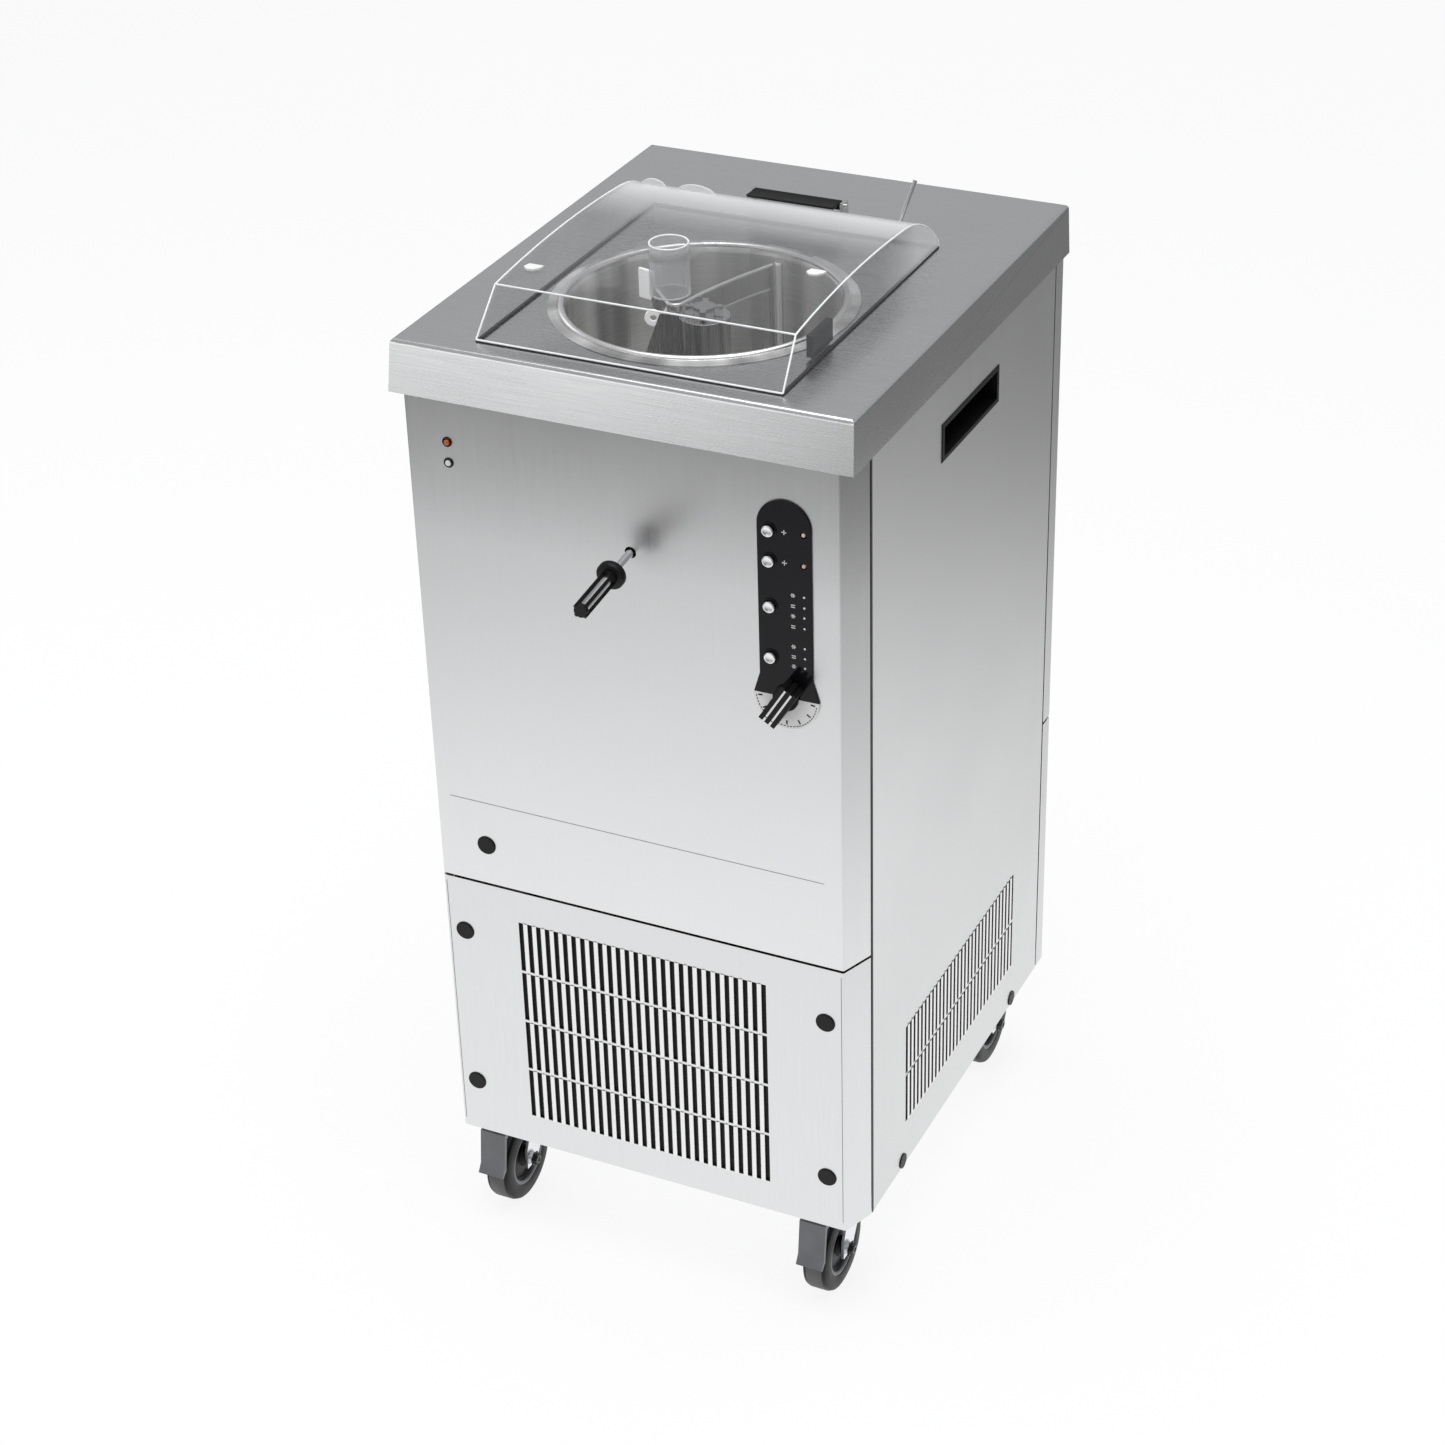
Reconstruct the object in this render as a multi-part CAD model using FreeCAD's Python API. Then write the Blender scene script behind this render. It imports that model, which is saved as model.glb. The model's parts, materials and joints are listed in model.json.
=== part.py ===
import FreeCAD, Part

import math
import os

from FreeCAD import Vector

# Floor-standing ice cream maker on castors, in millimetres.
# X runs to the machine's right, Y to its back and Z up from the floor.
# Places are given from the middle of the worktop, and save() moves every piece back by
# CENTRE_Y so that the origin is the middle of the whole footprint, drain handle included.

# Driving dimensions
CENTRE_Y = 54.3
SHEET = 1.5
WORKTOP_W = 480.0
WORKTOP_D = 557.4
WORKTOP_TOP = 1058.0
SKIRT_BOTTOM = 1005.0
RIM_R = 5.0
SKIRT_SPREAD_X = 2.3
SKIRT_SPREAD_FRONT = 6.6
BODY_HALF_W = 241.0
BODY_BOTTOM = 125.0
BODY_TOP = 1004.0
BODY_FRONT = -282.0
BODY_BACK = 264.3
FRONT_FLAT_HALF = 227.3
CORNER_BACK = -245.6
REAR_RETURN = 19.8
PANEL_GAP = 3.0
FOLD_R = 2.5
SEAM_Z = 454.5
CASTOR_LEFT_X = -198.0
CASTOR_RIGHT_X = 186.0
CASTOR_FRONT_Y = -191.0
CASTOR_REAR_Y = 184.0
CASTOR_TRAIL = 33.0
WHEEL_R = 50.0
WHEEL_W = 28.0
BOWL_Y = -88.0
BOWL_R = 134.0
BOWL_WALL = 2.0
BOWL_FLANGE_R = 152.0
BOWL_FLOOR = 878.0
HUB_R = 25.0
HUB_TOP = 1044.0
ARM_BOTTOM = 1027.0
ARM_TOP = 1052.0
BLADE_ANGLE = 196.0
FRAME_ANGLE = 82.0
WALL_CLEAR = 0.8
SHAFT_R = 9.0
LID_HALF_W = 160.0
LID_TOP_HALF_W = 156.0
LID_FRONT = -255.0
LID_BACK = 122.0
LID_RISE = 53.5
LID_WALL = 3.0
SEAL_H = 2.0
HINGE_Y = 134.0
HINGE_Z = WORKTOP_TOP + 24.0
CHUTE_X = -30.0
CHUTE_Y = -100.0
CHUTE_R = 20.0
STRIP_X = 171.2
STRIP_HALF_W = 27.6
STRIP_TOP = 967.5
STRIP_FLARE = 780.0
STRIP_BOTTOM = 759.0
DIAL_R = 34.0
STRIP_T = 2.0
BUTTON_X = 156.0
BUTTON_Z = (934.8, 903.2, 855.0, 800.5)
LAMP_X = 191.0
LAMP_Z = (935.4, 903.1)
DRAIN_X = 10.0
DRAIN_Z = 880.5
DRAIN_DROP_DEG = 6.0
DRAIN_TEE = -40.0
DRAIN_BORE_R = 6.0
OUTLET_X = -176.0
OUTLET_Z = 490.0
SIDE_PLUG_Y = (-160.0, 163.0)
SIDE_PLUG_Z = 133.0
GLAND_X = -190.0
GLAND_Z = 165.0
SLOT_PITCH = 10.3
SLOT_W = 5.2
BAR_H = 3.0
GEAR_MODULE = 2.0
GEAR_TEETH = 72
PINION_TEETH = 18
GEAR_Z = 726.0
GEAR_T = 15.0
FAN_Y = -186.0
FAN_Z = 289.0


# Helpers
def block(x0, x1, y0, y1, z0, z1):
    return Part.makeBox(x1 - x0, y1 - y0, z1 - z0, Vector(x0, y0, z0))


def rod(radius, start, end):
    line = Vector(*end) - Vector(*start)
    return Part.makeCylinder(radius, line.Length, Vector(*start), line)


def post(radius, x, y, z0, z1):
    return rod(radius, (x, y, z0), (x, y, z1))


def ring(outer, inner, x, y, z0, z1):
    return post(outer, x, y, z0, z1).cut(post(inner, x, y, z0 - 1, z1 + 1))


def polygon(points):
    corners = [Vector(*point) for point in points]
    return Part.Face(Part.makePolygon(corners + corners[:1]))


def prism_z(points, z0, z1):
    return polygon([(x, y, z0) for x, y in points]).extrude(Vector(0, 0, z1 - z0))


def prism_x(points, x0, x1):
    return polygon([(x0, y, z) for y, z in points]).extrude(Vector(x1 - x0, 0, 0))


def prism_y(points, y0, y1):
    return polygon([(x, y0, z) for x, z in points]).extrude(Vector(0, y1 - y0, 0))


def join(shapes):
    return shapes[0].fuse(shapes[1:]).removeSplitter()


def group(shapes):
    return Part.makeCompound(shapes)


def mirrored(shape):
    return shape.mirror(Vector(0, 0, 0), Vector(1, 0, 0))


def turned(shape, centre, axis, degrees):
    copy = shape.copy()
    copy.rotate(Vector(*centre), Vector(*axis), degrees)
    return copy


def moved(shape, x, y, z):
    copy = shape.copy()
    copy.translate(Vector(x, y, z))
    return copy


def pipe(points, radius, bend):
    """A round tube along straight runs, with a bend of the given radius at each corner."""
    corners = [Vector(*point) for point in points]
    edges = []
    start = corners[0]
    for before, corner, after in zip(corners, corners[1:], corners[2:]):
        inward = (before - corner).normalize()
        outward = (after - corner).normalize()
        half_angle = inward.getAngle(outward) / 2
        reach = bend / math.tan(half_angle)
        first = corner + inward * reach
        last = corner + outward * reach
        middle = (inward + outward).normalize() * (bend / math.sin(half_angle) - bend)
        edges.append(Part.makeLine(start, first))
        edges.append(Part.Arc(first, corner + middle, last).toShape())
        start = last
    edges.append(Part.makeLine(start, corners[-1]))
    path = Part.Wire(edges)
    circle = Part.Wire(Part.makeCircle(radius, corners[0], corners[1] - corners[0]))
    return path.makePipeShell([circle], True, False)


def save(name, shape):
    placed = shape.copy()
    placed.translate(Vector(0, CENTRE_Y, 0))
    placed.exportStep("parts/" + name + ".step")


# Cabinet
def front_shell(z0, z1):
    slope = (BODY_HALF_W - FRONT_FLAT_HALF) / (CORNER_BACK - BODY_FRONT)
    thick = SHEET * math.hypot(1, slope)
    outer = [(-BODY_HALF_W, CORNER_BACK), (-FRONT_FLAT_HALF, BODY_FRONT),
             (FRONT_FLAT_HALF, BODY_FRONT), (BODY_HALF_W, CORNER_BACK)]
    inner_corner = FRONT_FLAT_HALF + slope * SHEET - thick
    inner_edge = BODY_HALF_W - thick
    inner = [(inner_edge, CORNER_BACK), (inner_corner, BODY_FRONT + SHEET),
             (-inner_corner, BODY_FRONT + SHEET), (-inner_edge, CORNER_BACK)]
    shell = prism_z(outer + inner, z0, z1)
    middles = [Vector(x, BODY_FRONT, (z0 + z1) / 2) for x in (-FRONT_FLAT_HALF, FRONT_FLAT_HALF)]
    folds = [edge for edge in shell.Edges
             if any(edge.CenterOfMass.distanceToPoint(middle) < 0.01 for middle in middles)]
    return shell.makeFillet(FOLD_R, folds)


def front_upper_panel():
    panel = front_shell(SEAM_Z + PANEL_GAP / 2, BODY_TOP)
    depth = (BODY_FRONT - 1, BODY_FRONT + SHEET + 1)
    holes = [rod(8.6, (-173, depth[0], 503), (-173, depth[1], 503))]
    holes += [rod(3.2, (BUTTON_X, depth[0], z), (BUTTON_X, depth[1], z)) for z in BUTTON_Z]
    holes += [rod(3.2, (LAMP_X, depth[0], z), (LAMP_X, depth[1], z)) for z in LAMP_Z]
    holes += [rod(4.2, (-183, depth[0], z), (-183, depth[1], z)) for z in (961, 939)]
    holes.append(rod(4.5, (STRIP_X, depth[0], STRIP_BOTTOM), (STRIP_X, depth[1], STRIP_BOTTOM)))
    holes.append(rod(6.0, (DRAIN_X, depth[0], DRAIN_Z), (DRAIN_X, depth[1], DRAIN_Z)))
    return panel.cut(holes)


def slots_facing_y(x_first, count, rows, y0, y1):
    boxes = []
    for column in range(count):
        x = x_first + column * SLOT_PITCH
        boxes += [block(x - SLOT_W / 2, x + SLOT_W / 2, y0, y1, low, high) for low, high in rows]
    return boxes


def rows_between(bottom, top, count):
    height = (top - bottom - (count - 1) * BAR_H) / count
    return [(bottom + i * (height + BAR_H), bottom + i * (height + BAR_H) + height)
            for i in range(count)]


def front_lower_panel():
    panel = front_shell(BODY_BOTTOM, SEAM_Z - PANEL_GAP / 2)
    slots = slots_facing_y(-139.05, 28, rows_between(163, 415, 4),
                           BODY_FRONT - 1, BODY_FRONT + SHEET + 1)
    plugs = [rod(8.6, (x, BODY_FRONT - 1, z), (x, BODY_FRONT + SHEET + 1, z))
             for x in (-207, 207) for z in (387.5, 190.4)]
    return panel.cut(slots + plugs)


def right_side_panel():
    front = CORNER_BACK + PANEL_GAP
    back = BODY_BACK - REAR_RETURN - PANEL_GAP
    panel = block(BODY_HALF_W - SHEET, BODY_HALF_W, front, back, BODY_BOTTOM, BODY_TOP)
    depth = (BODY_HALF_W - SHEET - 1, BODY_HALF_W + 1)
    tools = [block(depth[0], depth[1], -68, 80, 922.6, 960)]
    for column in range(31):
        y = -150 + column * SLOT_PITCH
        tools += [block(depth[0], depth[1], y - SLOT_W / 2, y + SLOT_W / 2, low, high)
                  for low, high in rows_between(180, 304, 2)]
    tools += [rod(6.6, (depth[0], y, SIDE_PLUG_Z), (depth[1], y, SIDE_PLUG_Z)) for y in SIDE_PLUG_Y]
    return panel.cut(tools)


def rear_panel(z0, z1, vent_rows, vent_count):
    front = BODY_BACK - REAR_RETURN
    outer = block(-BODY_HALF_W, BODY_HALF_W, front, BODY_BACK, z0, z1)
    inner = block(-BODY_HALF_W + SHEET, BODY_HALF_W - SHEET, front - 1, BODY_BACK - SHEET, z0 - 1, z1 + 1)
    first = -(vent_count - 1) / 2 * SLOT_PITCH
    slots = slots_facing_y(first, vent_count, vent_rows, BODY_BACK - SHEET - 1, BODY_BACK + 1)
    return outer.cut(inner).cut(slots)


def rear_lower_panel():
    panel = rear_panel(BODY_BOTTOM, SEAM_Z - PANEL_GAP / 2, rows_between(210, 400, 3), 29)
    return panel.cut(rod(9.0, (GLAND_X, BODY_BACK - 5, GLAND_Z), (GLAND_X, BODY_BACK + 5, GLAND_Z)))


def rear_upper_panel():
    panel = rear_panel(SEAM_Z + PANEL_GAP / 2, BODY_TOP, rows_between(820, 940, 2), 15)
    return panel.cut(rod(7.3, (OUTLET_X, BODY_BACK - 5, OUTLET_Z), (OUTLET_X, BODY_BACK + 5, OUTLET_Z)))


def chassis():
    slope = (BODY_HALF_W - FRONT_FLAT_HALF) / (CORNER_BACK - BODY_FRONT)
    thick = SHEET * math.hypot(1, slope)
    front = BODY_FRONT + SHEET
    corner = FRONT_FLAT_HALF + slope * SHEET - thick
    back = BODY_BACK - SHEET
    shoulder = BODY_HALF_W - thick
    outline = [(-shoulder, back), (-shoulder, CORNER_BACK), (-corner, front),
               (corner, front), (shoulder, CORNER_BACK), (shoulder, back)]
    tray = prism_z(outline, BODY_BOTTOM, BODY_BOTTOM + 22)
    hollow = [(-shoulder + 2, back - 2), (-shoulder + 2, CORNER_BACK), (-corner + 2, front + 2),
              (corner - 2, front + 2), (shoulder - 2, CORNER_BACK), (shoulder - 2, back - 2)]
    tray = tray.cut(prism_z(hollow, BODY_BOTTOM + 2, BODY_BOTTOM + 23))
    notch = [(0, 0), (25, 0), (25, 2), (2, 2), (2, 25), (0, 25)]
    posts = []
    for x_side in (-1, 1):
        for y_corner, y_side in ((CORNER_BACK + 6, 1), (back - 2, -1)):
            x_corner = x_side * (WORKTOP_W / 2 - 6)
            points = [(x_corner - x_side * a, y_corner + y_side * b) for a, b in notch]
            posts.append(prism_z(points, BODY_BOTTOM + 1, WORKTOP_TOP - SHEET))
    plug_ways = [rod(6.8, (-BODY_HALF_W, y, SIDE_PLUG_Z), (BODY_HALF_W, y, SIDE_PLUG_Z))
                 for y in SIDE_PLUG_Y]
    gland_way = rod(9.0, (GLAND_X, back - 5, GLAND_Z), (GLAND_X, back + 5, GLAND_Z))
    return join([tray] + posts).cut(plug_ways + [gland_way])


def rectangle_wire(half_w, front, back, z):
    corners = [Vector(-half_w, front, z), Vector(half_w, front, z),
               Vector(half_w, back, z), Vector(-half_w, back, z)]
    return Part.makePolygon(corners + corners[:1])


def worktop():
    half_w = WORKTOP_W / 2
    half_d = WORKTOP_D / 2
    bottom = rectangle_wire(half_w + SKIRT_SPREAD_X, -half_d - SKIRT_SPREAD_FRONT, half_d, SKIRT_BOTTOM)
    top = rectangle_wire(half_w, -half_d, half_d, WORKTOP_TOP)
    outer = Part.makeLoft([bottom, top], True)
    rim = [edge for edge in outer.Edges
           if all(abs(vertex.Z - WORKTOP_TOP) < 0.01 for vertex in edge.Vertexes)]
    outer = outer.makeFillet(RIM_R, rim)
    inner_bottom = rectangle_wire(half_w + SKIRT_SPREAD_X - SHEET,
                                  -half_d - SKIRT_SPREAD_FRONT + SHEET, half_d - SHEET, SKIRT_BOTTOM + SHEET)
    inner_top = rectangle_wire(half_w - SHEET, -half_d + SHEET, half_d - SHEET, WORKTOP_TOP - SHEET)
    inner = Part.makeLoft([inner_bottom, inner_top], True)
    mouth = block(-half_w + 5, half_w - 5, -half_d + 3, half_d - 8, SKIRT_BOTTOM - 1, SKIRT_BOTTOM + 3)
    bowl_hole = post(BOWL_R + BOWL_WALL + 0.5, 0, BOWL_Y, SKIRT_BOTTOM, WORKTOP_TOP + 1)
    return outer.cut([inner, mouth, bowl_hole])


def hand_hold():
    """The right-hand recessed grip: a cup behind a bevelled rim."""
    face = BODY_HALF_W + 1.0
    rim = block(BODY_HALF_W, face, -70, 82, 920.6, 962)
    rim = rim.makeChamfer(0.9, [edge for edge in rim.Edges
                                if all(abs(vertex.X - face) < 0.01 for vertex in edge.Vertexes)])
    cup = block(BODY_HALF_W - 36, BODY_HALF_W, -67.5, 79.5, 923.1, 959.5)
    hollow = block(BODY_HALF_W - 34, face + 1, -64, 76, 926.1, 956.5)
    return join([rim, cup]).cut(hollow)


def plug_along_y(x, z):
    head = rod(10.5, (x, BODY_FRONT, z), (x, BODY_FRONT - 1.6, z))
    head = head.makeFillet(1.2, [edge for edge in head.Edges
                                 if all(vertex.Y < BODY_FRONT - 1 for vertex in edge.Vertexes)
                                 and edge.Length > 60])
    stem = rod(8.5, (x, BODY_FRONT, z), (x, BODY_FRONT + 6, z))
    return join([head, stem])


def plug_along_x(y, z):
    head = rod(8.5, (BODY_HALF_W, y, z), (BODY_HALF_W + 1.2, y, z))
    stem = rod(6.5, (BODY_HALF_W - 6, y, z), (BODY_HALF_W, y, z))
    return join([head, stem])


def panel_plugs():
    front = [plug_along_y(-173, 503)]
    front += [plug_along_y(x, z) for x in (-207, 207) for z in (387.5, 190.4)]
    right = [plug_along_x(y, SIDE_PLUG_Z) for y in SIDE_PLUG_Y]
    return group(front + right + [mirrored(plug) for plug in right])


# Controls
def control_strip():
    arc_z = STRIP_TOP - STRIP_HALF_W
    left = STRIP_X - STRIP_HALF_W
    right = STRIP_X + STRIP_HALF_W
    y = BODY_FRONT - STRIP_T
    points = [Vector(left, y, arc_z), Vector(left, y, STRIP_FLARE),
              Vector(STRIP_X - DIAL_R, y, STRIP_BOTTOM), Vector(STRIP_X + DIAL_R, y, STRIP_BOTTOM),
              Vector(right, y, STRIP_FLARE), Vector(right, y, arc_z)]
    edges = [Part.makeLine(a, b) for a, b in zip(points, points[1:])]
    edges.append(Part.Arc(points[-1], Vector(STRIP_X, y, STRIP_TOP), points[0]).toShape())
    strip = Part.Face(Part.Wire(edges)).extrude(Vector(0, STRIP_T, 0))
    holes = [rod(3.2, (BUTTON_X, y - 1, z), (BUTTON_X, BODY_FRONT + 1, z)) for z in BUTTON_Z]
    holes += [rod(3.2, (LAMP_X, y - 1, z), (LAMP_X, BODY_FRONT + 1, z)) for z in LAMP_Z]
    holes.append(rod(4.5, (STRIP_X, y - 1, STRIP_BOTTOM), (STRIP_X, BODY_FRONT + 1, STRIP_BOTTOM)))
    return strip.cut(holes)


def dial_plate():
    disc = rod(DIAL_R, (STRIP_X, BODY_FRONT - STRIP_T, STRIP_BOTTOM), (STRIP_X, BODY_FRONT, STRIP_BOTTOM))
    upper = block(STRIP_X - 40, STRIP_X + 40, BODY_FRONT - 5, BODY_FRONT + 5, STRIP_BOTTOM, STRIP_BOTTOM + 40)
    bore = rod(4.5, (STRIP_X, BODY_FRONT - 5, STRIP_BOTTOM), (STRIP_X, BODY_FRONT + 5, STRIP_BOTTOM))
    return disc.cut([upper, bore])


def indicator_lamps():
    lamps = []
    for z in (961, 939):
        bezel = rod(5.2, (-183, BODY_FRONT - 1.5, z), (-183, BODY_FRONT, z))
        barrel = rod(4.0, (-183, BODY_FRONT, z), (-183, BODY_FRONT + 12, z))
        lens = Part.makeSphere(3.6, Vector(-183, BODY_FRONT - 1.5, z))
        lamps.append(join([bezel, barrel, lens]))
    for z in LAMP_Z:
        lamps.append(rod(3.0, (LAMP_X, BODY_FRONT - STRIP_T - 0.4, z), (LAMP_X, BODY_FRONT + 8, z)))
    return group(lamps)


def push_button(z):
    front = BODY_FRONT - STRIP_T
    cap = rod(6.0, (BUTTON_X, front - 4.5, z), (BUTTON_X, front - 1.9, z))
    cap = cap.makeFillet(1.0, [edge for edge in cap.Edges
                               if all(vertex.Y < front - 4 for vertex in edge.Vertexes)
                               and edge.Length > 30])
    stem = rod(2.7, (BUTTON_X, front - 1.9, z), (BUTTON_X, BODY_FRONT + 9, z))
    return join([cap, stem])


def timer_knob():
    """A ribbed grip bar, 46 mm long, on a round shaft: the bar points to the upper right."""
    front = BODY_FRONT - STRIP_T
    half = 23.0
    skirt = rod(13.0, (STRIP_X, front - 3.5, STRIP_BOTTOM), (STRIP_X, front - 0.5, STRIP_BOTTOM))
    ribs = []
    for offset in (-7.0, 0.0, 7.0):
        x = STRIP_X + offset
        ribs.append(block(x - 2.3, x + 2.3, front - 21, front - 3.5, STRIP_BOTTOM - half, STRIP_BOTTOM + half))
    web = block(STRIP_X - 9, STRIP_X + 9, front - 17, front - 3.5,
                STRIP_BOTTOM - half + 2, STRIP_BOTTOM + half - 2)
    shaft = rod(3.0, (STRIP_X, front - 0.5, STRIP_BOTTOM), (STRIP_X, BODY_FRONT + 14, STRIP_BOTTOM))
    knob = join([skirt, web] + ribs + [shaft])
    return turned(knob, (STRIP_X, 0, STRIP_BOTTOM), (0, 1, 0), 32)


def control_board():
    board = block(120, 215, BODY_FRONT + 20, BODY_FRONT + 22, 740, 970)
    timer = block(STRIP_X - 18, STRIP_X + 18, BODY_FRONT + 15, BODY_FRONT + 20,
                  STRIP_BOTTOM - 17, STRIP_BOTTOM + 18)
    switches = [block(BUTTON_X - 5, BUTTON_X + 5, BODY_FRONT + 11, BODY_FRONT + 20, z - 5, z + 5)
                for z in BUTTON_Z]
    return join([board, timer] + switches)


# Bowl and drive
def round_can(radius, z0, z1, corner):
    """A solid of revolution about the bowl's axis with a rounded bottom edge."""
    bend = corner * (1 - math.sqrt(0.5))
    p = [Vector(0, BOWL_Y, z0), Vector(radius - corner, BOWL_Y, z0),
         Vector(radius - bend, BOWL_Y, z0 + bend), Vector(radius, BOWL_Y, z0 + corner),
         Vector(radius, BOWL_Y, z1), Vector(0, BOWL_Y, z1)]
    edges = [Part.makeLine(p[0], p[1]), Part.Arc(p[1], p[2], p[3]).toShape(),
             Part.makeLine(p[3], p[4]), Part.makeLine(p[4], p[5]), Part.makeLine(p[5], p[0])]
    return Part.Face(Part.Wire(edges)).revolve(Vector(0, BOWL_Y, 0), Vector(0, 0, 1), 360)


def bowl():
    """A wall with a rounded foot, welded to a floor disc, a flange, a shaft column and a drain stub."""
    foot_r = 12.0
    outer = round_can(BOWL_R + BOWL_WALL, BOWL_FLOOR - BOWL_WALL, WORKTOP_TOP, foot_r + BOWL_WALL)
    inner = round_can(BOWL_R, BOWL_FLOOR, WORKTOP_TOP + 1, foot_r)
    disc = post(BOWL_R - foot_r, 0, BOWL_Y, BOWL_FLOOR - BOWL_WALL, BOWL_FLOOR)
    flange = ring(BOWL_FLANGE_R, BOWL_R, 0, BOWL_Y, WORKTOP_TOP, WORKTOP_TOP + 1.5)
    column = post(13.5, 0, BOWL_Y, BOWL_FLOOR - 20, 1005)
    shaft_bore = post(SHAFT_R + 0.5, 0, BOWL_Y, BOWL_FLOOR - 30, 1015)
    stub = rod(9.0, drain_point(-70), drain_point(-20))
    drain_bore = rod(DRAIN_BORE_R, drain_point(-72), drain_point(-19))
    branch_bore = post(4.5, DRAIN_X, drain_point(DRAIN_TEE)[1], BOWL_FLOOR - 10, DRAIN_Z)
    return group([outer.cut([inner, disc, drain_bore]), disc.cut(column), flange, column.cut(shaft_bore),
                  stub.cut([outer, drain_bore, branch_bore])])


def bowl_insulation():
    outer = post(170, 0, BOWL_Y, 850, 1042)
    cavity = post(149, 0, BOWL_Y, BOWL_FLOOR - 4, 1050)
    shaft_way = post(22, 0, BOWL_Y, 845, 890)
    drain_way = block(DRAIN_X - 15, DRAIN_X + 15, BOWL_Y - 180, BOWL_Y - 137, 845, 903)
    return outer.cut([cavity, shaft_way, drain_way])


def evaporator_coil():
    coil_r = BOWL_R + BOWL_WALL + 5.5
    helix = Part.makeHelix(16, 128, coil_r)
    circle = Part.Wire(Part.makeCircle(4.5, Vector(coil_r, 0, 0), Vector(0, 1, 0)))
    tube = Part.Wire(helix).makePipeShell([circle], True, True)
    return moved(tube, 0, BOWL_Y, 906)


def paddle_blade():
    """A flat blade from the hub to the wall, wide at the foot and narrow at the top."""
    foot = BOWL_FLOOR + 6
    outline = [(HUB_R - 2, HUB_TOP), (44, HUB_TOP), (60, 1000), (126, 962), (126, foot), (HUB_R - 2, foot)]
    return polygon([(x, BOWL_Y - 1.5, z) for x, z in outline]).extrude(Vector(0, 3, 0))


def paddle_frame():
    """An open blade: a foot from the hub and a post along the bowl's wall."""
    foot = BOWL_FLOOR + 6
    bottom = block(HUB_R - 2, 127, BOWL_Y - 1.5, BOWL_Y + 1.5, foot, foot + 20)
    wall_post = block(117, 127, BOWL_Y - 1.5, BOWL_Y + 1.5, foot, ARM_TOP)
    return join([bottom, wall_post])


def paddle_arm():
    """The S-shaped strip on top, from the left, round the hub's front and back to the wall post."""
    tip = Vector(-72, BOWL_Y + 34, ARM_BOTTOM)
    dip = Vector(-53, BOWL_Y + 13, ARM_BOTTOM)
    crown = Vector(-38, BOWL_Y - 3, ARM_BOTTOM)
    nose = Vector(-29, BOWL_Y - 5, ARM_BOTTOM)
    heel = Vector(-24, BOWL_Y + 3, ARM_BOTTOM)
    bow = Vector(-7, BOWL_Y + 63, ARM_BOTTOM)
    end = Vector(17, BOWL_Y + 121, ARM_BOTTOM)
    spine = Part.Wire([Part.Arc(tip, dip, crown).toShape(), Part.Arc(crown, nose, heel).toShape(),
                       Part.Arc(heel, bow, end).toShape()])
    outline = spine.makeOffset2D(1.5, 0, False, False, False)
    return Part.Face(outline).extrude(Vector(0, 0, ARM_TOP - ARM_BOTTOM))


def paddle():
    hub = post(HUB_R, 0, BOWL_Y, BOWL_FLOOR + 3, HUB_TOP)
    hollow = post(15.0, 0, BOWL_Y, BOWL_FLOOR, 1010)
    bore = post(SHAFT_R, 0, BOWL_Y, 1000, HUB_TOP + 5)
    axis = ((0, BOWL_Y, 0), (0, 0, 1))
    blade = turned(paddle_blade(), *axis, BLADE_ANGLE)
    frame = turned(paddle_frame(), *axis, FRAME_ANGLE)
    return join([hub, blade, frame, paddle_arm()]).cut([hollow, bore])


def wiper(inner, angle, top):
    outer = BOWL_R - WALL_CLEAR
    strip = block(inner - 1, outer, BOWL_Y - 4, BOWL_Y + 4, BOWL_FLOOR + 14, top)
    strip = strip.common(post(outer, 0, BOWL_Y, BOWL_FLOOR, top))
    groove = block(inner - 5, inner, BOWL_Y - 1.5, BOWL_Y + 1.5, BOWL_FLOOR, top + 5)
    return turned(strip.cut(groove), (0, BOWL_Y, 0), (0, 0, 1), angle)


def scrapers():
    """Two white wipers on the blades' outer edges, a little clear of the bowl's wall."""
    return group([wiper(126, BLADE_ANGLE, 962), wiper(127, FRAME_ANGLE, ARM_TOP - 2)])


def paddle_nut():
    body = post(11, 0, BOWL_Y, HUB_TOP, HUB_TOP + 10)
    wings = [turned(block(-18, 18, BOWL_Y - 3, BOWL_Y + 3, HUB_TOP + 2, HUB_TOP + 10),
                    (0, BOWL_Y, 0), (0, 0, 1), angle) for angle in (20, 110)]
    return join([body] + wings).cut(post(SHAFT_R, 0, BOWL_Y, HUB_TOP - 5, HUB_TOP + 6))


def drive_shaft():
    return post(SHAFT_R, 0, BOWL_Y, 704, HUB_TOP + 6)


def gear(teeth, thickness, bore, x, y, phase):
    """A spur gear with straight-flanked teeth and a little backlash."""
    pitch_r = GEAR_MODULE * teeth / 2
    root_r = pitch_r - 1.25 * GEAR_MODULE
    tip_r = pitch_r + 0.9 * GEAR_MODULE
    step = 2 * math.pi / teeth
    points = []
    for tooth in range(teeth):
        middle = phase + tooth * step
        for radius, share in ((root_r, -0.34), (tip_r, -0.11), (tip_r, 0.11), (root_r, 0.34)):
            angle = middle + share * step
            points.append((x + radius * math.cos(angle), y + radius * math.sin(angle)))
    body = prism_z(points, GEAR_Z, GEAR_Z + thickness)
    return body.cut(post(bore, x, y, GEAR_Z - 1, GEAR_Z + thickness + 1))


def gear_centres():
    return GEAR_MODULE * (GEAR_TEETH + PINION_TEETH) / 2


def drive_gear():
    wheel = gear(GEAR_TEETH, GEAR_T, SHAFT_R, 0, BOWL_Y, math.pi / 2)
    return join([wheel, ring(20, SHAFT_R, 0, BOWL_Y, GEAR_Z + GEAR_T, GEAR_Z + GEAR_T + 8)])


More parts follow.
